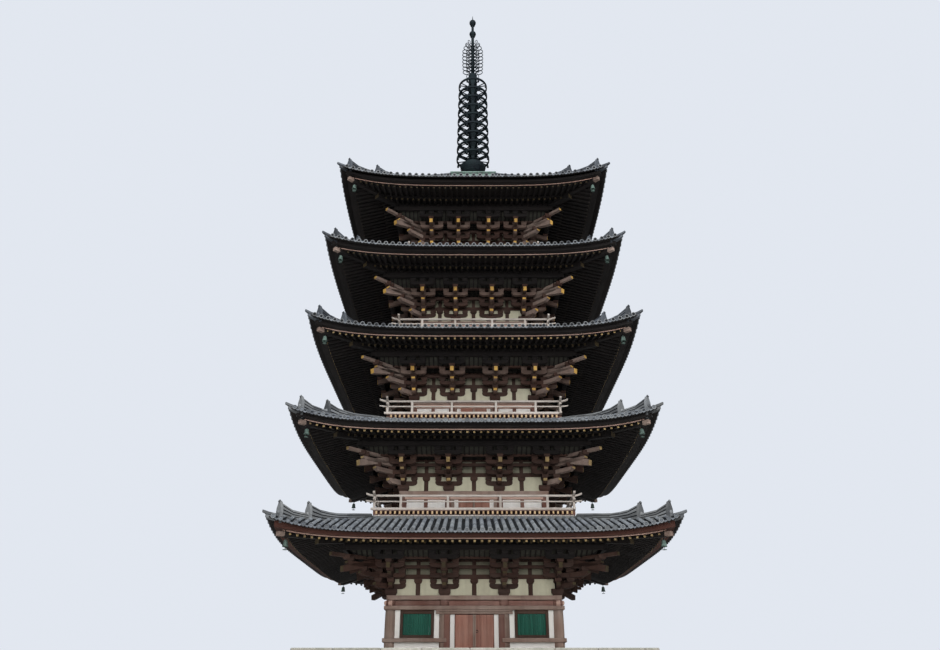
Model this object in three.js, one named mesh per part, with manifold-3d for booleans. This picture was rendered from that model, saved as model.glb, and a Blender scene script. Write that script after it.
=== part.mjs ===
// Five-storey timber pagoda with tiled roofs and a bronze spire, on a square stone podium.
// Millimetres, +Z up. The origin is the centre of the podium's underside, and the front faces -Y.
// Most pieces run round the square plan, so a place is often given as a distance outward from the
// storey's column line, and as a height above the top of that storey's wall plate.

import * as THREE from 'three';
import { mergeVertices } from 'three/addons/utils/BufferGeometryUtils.js';
import Module from 'manifold-3d';

const wasm = await Module();
wasm.setup();

// Room between pieces that touch
const GAP = 0.3;
// How far shapes that are joined run into each other
const OVERLAP = 10;
const ROUND_SIDES = 12;

// Storeys, from the ground up
const STOREYS = 5;
const GROUND_SPAN = 6630; // centre to centre of the corner columns
const SPAN_STEP = 605; // each storey is this much narrower than the one below
const DOOR_BAY_SHARE = 2370 / 6630; // middle bay's part of the span
const PLATE_TOPS = [3350, 7580, 11770, 15940, 19970];
const PLATE_HEIGHT = 160;
const PLATE_REACH = 170;

// Podium and steps
const PODIUM_HALF = 6450;
const PODIUM_HEIGHT = 1200;
const COPING_HEIGHT = 220;
const PLINTH_HEIGHT = 150;
const PODIUM_SET_BACK = 130;
const STEP_COUNT = 5;
const STEP_RUN = 290;
const STEP_FLIGHT_WIDTH = 2500;
const CHEEK_WIDTH = 240;
const CHEEK_DROP = 50; // the cheek's top lies this much below the podium's

// Ground storey
const COLUMN_RADIUS = 205;
const COLUMN_SIDES = 10;
const SILL_TOP = PODIUM_HEIGHT + 220;
const SILL_REACH = 260;
const FLOOR_TOP = PODIUM_HEIGHT + 190;
const LOW_RAIL = [1630, 1780];
const LOW_RAIL_REACH = 260;
const LOW_RAIL_THICK = 115;
const LINTEL_BOTTOM = 2650;
const HEAD_RAIL_BOTTOM = 2810;
const HEAD_RAIL_TOP = 2960;
const HEAD_RAIL_REACH = 245;
const HEAD_RAIL_BACK = 100;
const TIE_BEAM_HALF_THICK = 90;
const LINTEL_REACH = 270;
const LINTEL_HALF = 1510;
const LINTEL_BACK = 60;
const WALL_HALF_THICK = 60;
const WINDOW_WIDTH = 1110;
const WINDOW_HEIGHTS = [1900, 2670];
const WINDOW_RIM = 75;
const WINDOW_RIM_PROUD = 40;

// Doors
const DOOR_HALF = 720;
const DOOR_FACES = [130, 200]; // inner and outer face, outward from the column line
const DOOR_BOTTOM = SILL_TOP + 12;
const DOOR_TOP = LINTEL_BOTTOM - 20;
const DOOR_MEETING_GAP = 6;
const PIVOT_RADIUS = 28;
const BATTEN = { proud: 22, height: 110, inset: 25, places: [0.12, 0.5, 0.88] };
const JAMB_FACES = [-60, 100];
const JAMB_CLEARANCE = 5;

// Heart pillar
const PILLAR_RADIUS = 360;

// Brackets over each storey, as distance and height
const BRACKET_WALL_REACH = 70;
const BRACKET_WALL_TOP = 2280;
const BRACKET_WIDTH = 190;
const CORNER_BRACKET_WIDTH = 220;
const BRACKET_OUTLINE = [
  [0, 0], [240, 0], [240, 230], [1040, 620], [1040, 800], [1700, 820], [1820, 1150], [1820, 1600],
  [1680, 1600], [1000, 1370], [0, 1000],
];
const COVE_OUTLINE = [
  [BRACKET_WALL_REACH + GAP, 1360], [1070, 1360], [1660, 1580], [1840, 1580], [1840, 1786], [1640, 1786],
  [1040, 1440], [BRACKET_WALL_REACH + GAP, 1440],
];

// Eaves and roofs
const OVERHANG = 4250;
const ROOF_EDGE_HEIGHT = 1790;
const ROOF_THICKNESS = 200;
const ROOF_EDGE_SLOPE = 0.2;
const SHELF_REACH = 760; // inward of this the roof is flat, and outward its corners turn up
const SHELF_HEIGHT = 2870;
const TOP_EDGE_SLOPE = 0.5;
const TOP_ROOF_HEIGHT = 5500;
const TOP_ROOF_FLAT = 1300;
const ROOF_STATIONS = [4000, 2400]; // where the roof's curve is cut into flats
const CORNER_LIFTS = [470, 600, 560, 500, 480];
const SIDE_STATIONS = [-1, -0.72, 0, 0.72]; // along one side, corner to corner
const EAVE_INNER = -450;
const FLYING_RAFTER = { reach: 3900, bottom: 1440, top: 1530 };
const BASE_RAFTER = { reach: 2400, bottom: 1630, slope: 0.28, step: 1800 };
const EAVE_BOARD_REACH = 4000;
const INNER_EAVE_DEPTH = 200;
// Every fifth row of cover tiles stands out from the roof, and fades toward the roof's inner bend
const TILE_ROW = { spacing: 1500, width: 180, height: 110, shortest: 600 };
const RING_CLEARANCE = 150; // least distance between two rings of the roof's skin
const UNDER_ROOF = { height: 1000, spare: 100 }; // what is cut away below, a little wider than the roof

// Hip ridges
const RIDGE_SINK = 100;
const RIDGE_START = 120; // outward from the shelf's edge
const LOWER_RIDGE = { end: 3900, width: 300, height: 380, crest: 670 };
const UPPER_RIDGE = { end: 3000, width: 360, height: 370, crest: 850 };
const CREST_THICKNESS = 130;
const CREST_PROUD = 40;
const TOP_ROOF_MIDDLE = 560; // one more place where the top roof's curve is cut

// Upper storeys and balconies
const UPPER_COLUMN_RADIUS = 155;
const UPPER_COLUMN_SIDES = 6;
const UPPER_WALL_HALF_THICK = 70;
const UPPER_REACH = 160;
const UPPER_DOOR_PROUD = 45;
const UPPER_LINTEL_HEIGHT = 150;
const BALCONY = {
  reach: 970, base: 140, baseOuter: 890, waistOuter: 850, waistInner: 730, deckBottom: 260, deckTop: 380,
  rail: 80, railCentre: 910, post: 110, top: 880, ends: 350,
};

// Spire
const DEW_BASIN_HALF = 1210;
const DEW_BASIN_TOP = 25920;
const DEW_BASIN_RIM = { height: 110, proud: 60 };
const BOWL_FOOT = DEW_BASIN_TOP - 20;
// Inverted bowl, neck and lotus cup, as radius and height above the bowl's foot
const LOTUS_OUTLINE = [
  [730, 0], [700, 220], [560, 400], [250, 480], [250, 600], [620, 900], [640, 960], [200, 1000],
];
const LOTUS_HEIGHT = 1180;
const LOTUS_SIDES = 16;
const SHAFT_RADIUS = 240; // the sleeve that holds the rings
const SHAFT_SIDES = 8;
const RING_COUNT = 9;
const RING_HEIGHTS = [27690, 34130];
const RING_RADII = [980, 860];
const RING_BAND = { thick: 70, height: 130, sides: 10 };
const SPOKE_WIDTH = 70;
const FLAME_HEIGHTS = [34300, 37130];
const FLAME_HALF = 660;
const FLAME_TOP_HALF = 220;
const FLAME_THICKNESS = 50;
const FLAME_TONGUES = 4;
const FLAME_TAPER = 0.06; // each tongue reaches this share less far than the one below
const TONGUE = { notch: 0.8, foot: 60, tip: 450 };
const FLAME_OPENING = [[170, 210], [400, 330], [170, 630]]; // in each tongue, from its foot
const FINIAL_ROD_RADIUS = 91;
const JEWELS = [[37750, 220], [38740, 220]]; // middle height and radius
const JEWEL_SIDES = 8;
const JEWEL_BANDS = 6;
const PIN_RADIUS = 39;
const PIN_HEIGHT = 200;
const SPIRE_TOP = 39360;

const Z_AXIS = new THREE.Vector3(0, 0, 1);
const QUARTER_TURNS = [[1, 0], [0, 1], [-1, 0], [0, -1]]; // cosine and sine of each

const stone = new THREE.MeshStandardMaterial({ color: 0x8d8b7e, roughness: 0.95 });
const timber = new THREE.MeshStandardMaterial({ color: 0x6d5044, roughness: 0.85 });
const darkTimber = new THREE.MeshStandardMaterial({ color: 0x3c2d27, roughness: 0.9 });
const plaster = new THREE.MeshStandardMaterial({ color: 0xc5bfb2, roughness: 0.95 });
const doorBoards = new THREE.MeshStandardMaterial({ color: 0x8b6153, roughness: 0.85 });
const paleTimber = new THREE.MeshStandardMaterial({ color: 0x8f8577, roughness: 0.9 });
const tile = new THREE.MeshStandardMaterial({ color: 0x4b525b, roughness: 0.6 });
const bronze = new THREE.MeshStandardMaterial({ color: 0x3a443e, roughness: 0.55, metalness: 0.7 });

const pagoda = new THREE.Group();

function addPiece(name, geometry, material) {
  const mesh = new THREE.Mesh(geometry, material);
  mesh.name = name;
  pagoda.add(mesh);
}

// Joining and cutting

function asSolid(geometry) {
  const bare = geometry.clone();
  for (const name of ['normal', 'uv']) bare.deleteAttribute(name);
  const merged = mergeVertices(bare, 0.001);
  const vertProperties = new Float32Array(merged.attributes.position.array);
  const triVerts = new Uint32Array(merged.index.array);
  return new wasm.Manifold(new wasm.Mesh({ numProp: 3, vertProperties, triVerts }));
}

function asGeometry(solid) {
  const mesh = solid.getMesh();
  const geometry = new THREE.BufferGeometry();
  geometry.setAttribute('position', new THREE.BufferAttribute(mesh.vertProperties, 3));
  geometry.setIndex(new THREE.BufferAttribute(mesh.triVerts, 1));
  return geometry;
}

// asOriginal merges the flat faces that the joins have split
function fuse(pieces) {
  return asGeometry(pieces.map(asSolid).reduce((whole, piece) => whole.add(piece)).asOriginal());
}

function cut(piece, tool) {
  return asGeometry(asSolid(piece).subtract(asSolid(tool)).asOriginal());
}

// Plain shapes

function block([x0, x1], [y0, y1], [z0, z1]) {
  const geometry = new THREE.BoxGeometry(x1 - x0, y1 - y0, z1 - z0);
  return geometry.translate((x0 + x1) / 2, (y0 + y1) / 2, (z0 + z1) / 2);
}

function post([x, y], radius, [z0, z1], sides) {
  const geometry = new THREE.CylinderGeometry(radius, radius, z1 - z0, sides);
  return geometry.rotateX(Math.PI / 2).rotateZ(Math.PI / sides).translate(x, y, (z0 + z1) / 2);
}

function turning(profile, sides) {
  const points = profile.map(([radius, height]) => new THREE.Vector2(radius, height));
  return new THREE.LatheGeometry(points, sides).rotateX(Math.PI / 2);
}

function outline(points) {
  return new THREE.Shape(points.map(([x, y]) => new THREE.Vector2(x, y)));
}

function squareOutline(half) {
  return outline([[-half, -half], [half, -half], [half, half], [-half, half]]);
}

function squareRing(inner, outer, [z0, z1]) {
  const shape = squareOutline(outer);
  shape.holes.push(squareOutline(inner));
  return new THREE.ExtrudeGeometry(shape, { depth: z1 - z0, bevelEnabled: false }).translate(0, 0, z0);
}

function fourSides(geometry) {
  return [0, 1, 2, 3].map((turn) => geometry.clone().rotateZ((turn * Math.PI) / 2));
}

// A band round the square plan. Its profile is [half width, height], anticlockwise, and lift(u, half)
// raises it along each side, where u runs from -1 at one corner to 1 at the next. Every four-cornered
// face is halved along the same diagonal, so that bands lie flush on each other.
function loftedRing(profile, lift) {
  const positions = [];
  const stations = lift ? SIDE_STATIONS : [-1];
  const around = 4 * stations.length;
  for (const [half, height] of profile) {
    for (let side = 0; side < 4; side += 1) {
      for (const u of stations) {
        const rise = lift ? lift(u, half) : 0;
        const point = new THREE.Vector3(u * half, -half, height + rise);
        point.applyAxisAngle(Z_AXIS, (side * Math.PI) / 2);
        positions.push(point.x, point.y, point.z);
      }
    }
  }
  const index = [];
  for (let row = 0; row < profile.length; row += 1) {
    const next = (row + 1) % profile.length;
    const inward = profile[row][0] > profile[next][0];
    for (let column = 0; column < around; column += 1) {
      const beside = (column + 1) % around;
      const here = [row * around + column, row * around + beside];
      const there = [next * around + column, next * around + beside];
      if (inward) index.push(here[0], here[1], there[1], here[0], there[1], there[0]);
      else index.push(here[0], here[1], there[0], here[1], there[1], there[0]);
    }
  }
  const geometry = new THREE.BufferGeometry();
  geometry.setAttribute('position', new THREE.Float32BufferAttribute(positions, 3));
  geometry.setIndex(index);
  return geometry;
}

// A closed skin over rings of points, from each ring to the next and from the last to the first. A
// face that has lost its width, where two of its points meet, is left out.
function skin(rings) {
  const points = rings.flat();
  const around = rings[0].length;
  const index = [];
  const addFace = (...corners) => {
    const places = new Set(corners.map((corner) => points[corner].map(Math.round).join()));
    if (places.size === corners.length) index.push(...corners);
  };
  for (let row = 0; row < rings.length; row += 1) {
    const next = (row + 1) % rings.length;
    for (let column = 0; column < around; column += 1) {
      const beside = (column + 1) % around;
      addFace(row * around + column, row * around + beside, next * around + beside);
      addFace(row * around + column, next * around + beside, next * around + column);
    }
  }
  const geometry = new THREE.BufferGeometry();
  geometry.setAttribute('position', new THREE.Float32BufferAttribute(points.flat(), 3));
  geometry.setIndex(index);
  return geometry;
}

// A plate that stands out from the front wall. Its outline is [distance outward, height].
function outwardPlate(points, width) {
  const plate = new THREE.ExtrudeGeometry(outline(points), { depth: width, bevelEnabled: false });
  const outward = new THREE.Vector3(0, -1, 0);
  const across = new THREE.Vector3(-1, 0, 0);
  const frame = new THREE.Matrix4().makeBasis(outward, Z_AXIS, across).setPosition(width / 2, 0, 0);
  return plate.applyMatrix4(frame);
}

function halfSpan(storey) {
  return (GROUND_SPAN - SPAN_STEP * storey) / 2;
}

function doorBayHalf(storey) {
  return halfSpan(storey) * DOOR_BAY_SHARE;
}

// Podium, steps, floor and heart pillar

function makePodium() {
  const body = PODIUM_HALF - PODIUM_SET_BACK;
  const whole = [-PODIUM_HALF, PODIUM_HALF];
  const inset = [-body, body];
  return fuse([
    block(whole, whole, [0, PLINTH_HEIGHT]),
    block(inset, inset, [0, PODIUM_HEIGHT]),
    block(whole, whole, [PODIUM_HEIGHT - COPING_HEIGHT, PODIUM_HEIGHT]),
  ]);
}

function makeSteps() {
  const rise = PODIUM_HEIGHT / (STEP_COUNT + 1);
  const reach = STEP_COUNT * STEP_RUN;
  const stairs = [[0, 0], [reach, 0]];
  for (let step = STEP_COUNT; step > 0; step -= 1) {
    const top = (STEP_COUNT + 1 - step) * rise;
    stairs.push([step * STEP_RUN, top], [(step - 1) * STEP_RUN, top]);
  }
  const cheek = [[0, 0], [reach + CHEEK_WIDTH, 0], [reach + CHEEK_WIDTH, rise], [0, PODIUM_HEIGHT - CHEEK_DROP]];
  const side = (STEP_FLIGHT_WIDTH + CHEEK_WIDTH) / 2 - OVERLAP;
  const flight = fuse([
    outwardPlate(stairs, STEP_FLIGHT_WIDTH),
    outwardPlate(cheek, CHEEK_WIDTH).translate(side, 0, 0),
    outwardPlate(cheek, CHEEK_WIDTH).translate(-side, 0, 0),
  ]);
  return flight.translate(0, -(PODIUM_HALF + GAP), 0);
}

function makeFloor() {
  const half = halfSpan(0) - COLUMN_RADIUS - GAP;
  const edge = [-half, half];
  const slab = block(edge, edge, [PODIUM_HEIGHT + GAP, FLOOR_TOP]);
  return cut(slab, post([0, 0], PILLAR_RADIUS + GAP, [PODIUM_HEIGHT - 1, FLOOR_TOP + 1], ROUND_SIDES));
}

// Ground storey

function makeSill() {
  const half = halfSpan(0);
  return squareRing(half - COLUMN_RADIUS, half + SILL_REACH, [PODIUM_HEIGHT + GAP, SILL_TOP]);
}

// The front left corner: three columns, the low rail that clasps them, and a door post on each side
function makeCornerFrame() {
  const half = halfSpan(0);
  const bay = doorBayHalf(0);
  const heights = [SILL_TOP + GAP, HEAD_RAIL_BOTTOM - GAP];
  const places = [[-half, -half], [-bay, -half], [-half, -bay]];
  const columns = places.map((place) => post(place, COLUMN_RADIUS, heights, COLUMN_SIDES));
  const face = [-(half + LOW_RAIL_REACH), -(half + LOW_RAIL_REACH - LOW_RAIL_THICK)];
  const along = [-(half + LOW_RAIL_REACH), -(bay - COLUMN_RADIUS / 2)];
  const jambHeights = [SILL_TOP + GAP, LINTEL_BOTTOM - GAP];
  const jambAlong = [-bay, -(DOOR_HALF + JAMB_CLEARANCE)];
  const jambFace = [-(half + JAMB_FACES[1]), -(half + JAMB_FACES[0])];
  return fuse([
    ...columns,
    block(along, face, LOW_RAIL),
    block(face, along, LOW_RAIL),
    block(jambAlong, jambFace, jambHeights),
    block(jambFace, jambAlong, jambHeights),
  ]);
}

function makeHeadBeams() {
  const half = halfSpan(0);
  const bay = doorBayHalf(0);
  const plateBottom = PLATE_TOPS[0] - PLATE_HEIGHT;
  const places = [[-half, -half], [-bay, -half], [bay, -half]];
  const headHeights = [HEAD_RAIL_TOP - OVERLAP, plateBottom + OVERLAP];
  const heads = places.map((place) => post(place, COLUMN_RADIUS, headHeights, COLUMN_SIDES));
  const lintelHeights = [LINTEL_BOTTOM, HEAD_RAIL_BOTTOM + OVERLAP];
  const between = bay - COLUMN_RADIUS - GAP;
  const lintelInside = block([-between, between], [-(half + LINTEL_REACH), -(half - LINTEL_BACK)], lintelHeights);
  const lintelOutside = block(
    [-LINTEL_HALF, LINTEL_HALF],
    [-(half + LINTEL_REACH), -(half + COLUMN_RADIUS + GAP)],
    lintelHeights,
  );
  return fuse([
    squareRing(half - HEAD_RAIL_BACK, half + HEAD_RAIL_REACH, [HEAD_RAIL_BOTTOM, HEAD_RAIL_TOP]),
    squareRing(half - TIE_BEAM_HALF_THICK, half + TIE_BEAM_HALF_THICK, headHeights),
    squareRing(half - PLATE_REACH, half + PLATE_REACH, [plateBottom, PLATE_TOPS[0]]),
    ...heads.flatMap(fourSides),
    ...fourSides(lintelInside),
    ...fourSides(lintelOutside),
  ]);
}

// One front bay with its window, to the left or right of the door
function makeBayWall(direction) {
  const half = halfSpan(0);
  const nearDoor = doorBayHalf(0) + COLUMN_RADIUS + GAP;
  const nearCorner = half - COLUMN_RADIUS - GAP;
  const ends = direction > 0 ? [nearDoor, nearCorner] : [-nearCorner, -nearDoor];
  const centre = (ends[0] + ends[1]) / 2;
  const rim = WINDOW_WIDTH / 2 + WINDOW_RIM;
  const rimFace = [-(half + WALL_HALF_THICK + WINDOW_RIM_PROUD), -half];
  const rimHeights = [WINDOW_HEIGHTS[0] - WINDOW_RIM, WINDOW_HEIGHTS[1] + WINDOW_RIM];
  const opening = [centre - WINDOW_WIDTH / 2, centre + WINDOW_WIDTH / 2];
  const face = [-(half + WALL_HALF_THICK), -(half - WALL_HALF_THICK)];
  const panel = fuse([
    block(ends, face, [SILL_TOP + GAP, HEAD_RAIL_BOTTOM - GAP]),
    block([centre - rim, centre + rim], rimFace, rimHeights),
  ]);
  return cut(panel, block(opening, [-(half + COLUMN_RADIUS), -(half - COLUMN_RADIUS)], WINDOW_HEIGHTS));
}

// Inner and outer face of the front door boards, on the Y axis
function doorFace() {
  return [-(halfSpan(0) + DOOR_FACES[1]), -(halfSpan(0) + DOOR_FACES[0])];
}

function doorBattens([x0, x1]) {
  const face = [doorFace()[0] - BATTEN.proud, doorFace()[0] + OVERLAP];
  return BATTEN.places.map((share) => {
    const centre = DOOR_BOTTOM + (DOOR_TOP - DOOR_BOTTOM) * share;
    return block([x0, x1], face, [centre - BATTEN.height / 2, centre + BATTEN.height / 2]);
  });
}

// A front door leaf, hung at its outer edge. Direction is -1 for the left leaf.
function makeDoorLeaf(direction) {
  const face = doorFace();
  const edges = [DOOR_MEETING_GAP / 2, DOOR_HALF];
  const battenEdges = [edges[0] + BATTEN.inset, edges[1] - BATTEN.inset];
  const placed = (ends) => ends.map((edge) => edge * direction).sort((a, b) => a - b);
  const axis = [direction * DOOR_HALF, (face[0] + face[1]) / 2];
  const stile = (face[1] - face[0]) / 2;
  return fuse([
    block(placed(edges), face, [DOOR_BOTTOM, DOOR_TOP]),
    post(axis, stile, [DOOR_BOTTOM, DOOR_TOP], ROUND_SIDES),
    post(axis, PIVOT_RADIUS, [SILL_TOP + GAP, LINTEL_BOTTOM - GAP], ROUND_SIDES),
    ...doorBattens(placed(battenEdges)),
  ]);
}

// A closed pair of doors on the front, turned to the other sides
function makeClosedDoor() {
  const boards = block([-DOOR_HALF, DOOR_HALF], doorFace(), [SILL_TOP + GAP, LINTEL_BOTTOM - GAP]);
  return fuse([boards, ...doorBattens([-(DOOR_HALF - BATTEN.inset), DOOR_HALF - BATTEN.inset])]);
}

// Brackets, eaves and roof of one storey

// The plastered wall behind the brackets
function makeBracketWall(storey) {
  const half = halfSpan(storey);
  const heights = [GAP, BRACKET_WALL_TOP].map((height) => PLATE_TOPS[storey] + height);
  return squareRing(half - BRACKET_WALL_REACH, half + BRACKET_WALL_REACH, heights);
}

// Twelve bracket arms, trimmed to the wall behind them, and the boards and purlin that they carry
function makeBrackets(storey) {
  const half = halfSpan(storey);
  const boards = loftedRing(COVE_OUTLINE.map(([out, height]) => [half + out, height]));
  const arms = [-1, 1].map((side) => (
    outwardPlate(BRACKET_OUTLINE, BRACKET_WIDTH).translate(side * doorBayHalf(storey), -half, 0)
  ));
  const cornerOutline = BRACKET_OUTLINE.map(([out, height]) => [out * Math.SQRT2, height]);
  const cornerArm = outwardPlate(cornerOutline, CORNER_BRACKET_WIDTH).rotateZ(-Math.PI / 4).translate(-half, -half, 0);
  const whole = fuse([boards, ...[...arms, cornerArm].flatMap(fourSides)]);
  const wallFace = half + BRACKET_WALL_REACH + GAP;
  const besideWall = cut(whole, squareRing(half - BRACKET_WIDTH, wallFace, [-OVERLAP, BRACKET_WALL_TOP]));
  return besideWall.translate(0, 0, PLATE_TOPS[storey] + GAP);
}

// Height of the roof's upper face above the plate, at a distance outward from the column line
function roofHeight(storey, out) {
  const isTop = storey === STOREYS - 1;
  const inner = isTop ? TOP_ROOF_FLAT - halfSpan(storey) : SHELF_REACH;
  const peak = isTop ? TOP_ROOF_HEIGHT : SHELF_HEIGHT;
  const slope = isTop ? TOP_EDGE_SLOPE : ROOF_EDGE_SLOPE;
  const run = OVERHANG - inner;
  const bend = (peak - ROOF_EDGE_HEIGHT - slope * run) / (run * run);
  const inward = OVERHANG - Math.max(out, inner);
  return ROOF_EDGE_HEIGHT + slope * inward + bend * inward * inward;
}

function cornerLift(storey) {
  const half = halfSpan(storey);
  return (u, ringHalf) => {
    const share = Math.max(0, ringHalf - half - SHELF_REACH) / (OVERHANG - SHELF_REACH);
    return CORNER_LIFTS[storey] * Math.abs(u) ** 3 * share * share;
  };
}

function makeEaves(storey) {
  const half = halfSpan(storey);
  const isTop = storey === STOREYS - 1;
  const under = (out) => roofHeight(storey, out) - ROOF_THICKNESS - GAP;
  const inner = BASE_RAFTER.bottom + BASE_RAFTER.slope * (BASE_RAFTER.reach - EAVE_INNER);
  const [edge, middle] = ROOF_STATIONS;
  const profile = [
    [EAVE_INNER, inner],
    [BASE_RAFTER.reach, BASE_RAFTER.bottom],
    [BASE_RAFTER.reach, BASE_RAFTER.step],
    [FLYING_RAFTER.reach, FLYING_RAFTER.bottom],
    [FLYING_RAFTER.reach, FLYING_RAFTER.top],
    [EAVE_BOARD_REACH, FLYING_RAFTER.top],
    [edge, under(edge)],
    [middle, under(middle)],
  ];
  if (isTop) {
    profile.push([EAVE_INNER, inner + INNER_EAVE_DEPTH]);
  } else {
    profile.push([SHELF_REACH, under(SHELF_REACH)], [EAVE_INNER, under(SHELF_REACH)]);
  }
  const plate = PLATE_TOPS[storey];
  return loftedRing(profile.map(([out, height]) => [half + out, plate + height]), cornerLift(storey));
}

// The ridge along the front left hip, between two distances outward from the column line
function hipRidge(storey, [from, to], ridge) {
  const half = halfSpan(storey);
  const lift = cornerLift(storey);
  const stations = [from, ...ROOF_STATIONS.filter((out) => out > to && out < from), to];
  const positions = [];
  for (const out of stations) {
    const surface = roofHeight(storey, out) + lift(1, half + out);
    const place = -(half + out);
    const side = ridge.width / 2 / Math.SQRT2;
    for (const [across, up] of [[-1, -RIDGE_SINK], [1, -RIDGE_SINK], [1, ridge.height], [-1, ridge.height]]) {
      positions.push(place + across * side, place - across * side, surface + up);
    }
  }
  const index = [0, 1, 2, 0, 2, 3];
  const last = 4 * (stations.length - 1);
  index.push(last, last + 2, last + 1, last, last + 3, last + 2);
  for (let station = 0; station < stations.length - 1; station += 1) {
    for (let edge = 0; edge < 4; edge += 1) {
      const here = 4 * station + edge;
      const beside = 4 * station + ((edge + 1) % 4);
      index.push(here, beside + 4, beside, here, here + 4, beside + 4);
    }
  }
  const geometry = new THREE.BufferGeometry();
  geometry.setAttribute('position', new THREE.Float32BufferAttribute(positions, 3));
  geometry.setIndex(index);
  return geometry;
}

// The upright end tile that closes a hip ridge, with a pointed top
function ridgeCrest(storey, ridge) {
  const half = halfSpan(storey);
  const surface = roofHeight(storey, ridge.end) + cornerLift(storey)(1, half + ridge.end);
  const side = ridge.width / 2 + CREST_PROUD;
  const shape = outline([
    [-side, -RIDGE_SINK], [side, -RIDGE_SINK], [side, ridge.height], [0, ridge.crest], [-side, ridge.height],
  ]);
  const crest = new THREE.ExtrudeGeometry(shape, { depth: CREST_THICKNESS, bevelEnabled: false });
  crest.rotateX(Math.PI / 2).rotateZ(-Math.PI / 4);
  return crest.translate(-(half + ridge.end), -(half + ridge.end), surface);
}

// The roof's upper skin over a solid body with a flat foot. The tile rows run straight up each slope
// and end at the hips, so rings lie where rows end, and past its end a row's points gather at the corner.
function tiledBody(storey, bend, inner) {
  const half = halfSpan(storey);
  const lift = cornerLift(storey);
  const { spacing, width, height, shortest } = TILE_ROW;
  const count = Math.floor((half + OVERHANG - shortest) / spacing);
  const rowEnds = Array.from({ length: count }, (_, row) => (count - row) * spacing - half);
  const raisedRings = rowEnds.filter((out) => out > bend + RING_CLEARANCE);

  const ring = (out, level, rise) => {
    const reach = half + out;
    const points = [[-reach, -reach, level + lift(1, reach)]];
    for (let row = -count; row <= count; row += 1) {
      const isThere = Math.abs(row * spacing) < reach - width / 2;
      for (const across of [-1, 0, 1]) {
        const x = THREE.MathUtils.clamp(row * spacing + (across * width) / 2, -reach, reach);
        points.push([x, -reach, level + lift(x / reach, reach) + (isThere && across === 0 ? rise : 0)]);
      }
    }
    return QUARTER_TURNS.flatMap(([cos, sin]) => (
      points.map(([x, y, z]) => [cos * x - sin * y, sin * x + cos * y, z])
    ));
  };

  return skin([
    ...[OVERHANG, ...raisedRings].map((out) => ring(out, roofHeight(storey, out), height)),
    ...[bend, inner].map((out) => ring(out, roofHeight(storey, out), 0)),
    ...[inner, OVERHANG].map((out) => ring(out, UNDER_ROOF.height, 0)),
  ]);
}

// The tiled body with all below the roof's underside cut away, so that the eaves lie flush under it
function makeRoof(storey) {
  const half = halfSpan(storey);
  const isTop = storey === STOREYS - 1;
  const inner = isTop ? PILLAR_RADIUS + GAP - half : halfSpan(storey + 1) + UPPER_REACH + GAP - half;
  const bend = isTop ? TOP_ROOF_FLAT - half : SHELF_REACH;
  const stations = [OVERHANG, ...ROOF_STATIONS, bend];
  if (isTop) stations.splice(ROOF_STATIONS.length + 1, 0, TOP_ROOF_MIDDLE);
  const underside = stations.map((out) => [half + out, roofHeight(storey, out) - ROOF_THICKNESS]);
  const outside = half + OVERHANG + UNDER_ROOF.spare;
  const inside = half + inner - UNDER_ROOF.spare;
  const below = loftedRing([
    [inside, 0], [outside, 0], [outside, underside[0][1]], ...underside, [inside, underside.at(-1)[1]],
  ], cornerLift(storey));
  const shell = cut(tiledBody(storey, bend, inner), below);
  const ridgeTop = isTop ? bend : SHELF_REACH + RIDGE_START;
  const ridges = [
    hipRidge(storey, [UPPER_RIDGE.end, ridgeTop], UPPER_RIDGE),
    hipRidge(storey, [LOWER_RIDGE.end, UPPER_RIDGE.end - CREST_THICKNESS / 2], LOWER_RIDGE),
    ridgeCrest(storey, UPPER_RIDGE),
    ridgeCrest(storey, LOWER_RIDGE),
  ];
  return fuse([shell, ...ridges.flatMap(fourSides)]).translate(0, 0, PLATE_TOPS[storey]);
}

// Upper storeys and their balconies

function makeUpperStorey(storey) {
  const half = halfSpan(storey);
  const bay = doorBayHalf(storey);
  const bottom = PLATE_TOPS[storey - 1] + SHELF_HEIGHT - ROOF_THICKNESS;
  const top = PLATE_TOPS[storey];
  const places = [[-half, -half], [-bay, -half], [bay, -half]];
  const columns = places.map((place) => (
    post(place, UPPER_COLUMN_RADIUS, [bottom, top - PLATE_HEIGHT / 2], UPPER_COLUMN_SIDES)
  ));
  const doorFace = [-(half + UPPER_WALL_HALF_THICK + UPPER_DOOR_PROUD), -half];
  const doorHalf = bay - UPPER_COLUMN_RADIUS / 2;
  const doorHeights = [bottom + ROOF_THICKNESS + BALCONY.deckTop, top - PLATE_HEIGHT - UPPER_LINTEL_HEIGHT];
  return fuse([
    squareRing(half - UPPER_WALL_HALF_THICK, half + UPPER_WALL_HALF_THICK, [bottom, top - PLATE_HEIGHT / 2]),
    squareRing(half - PLATE_REACH, half + PLATE_REACH, [top - PLATE_HEIGHT, top]),
    ...columns.flatMap(fourSides),
    ...fourSides(block([-doorHalf, doorHalf], doorFace, doorHeights)),
  ]);
}

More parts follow.
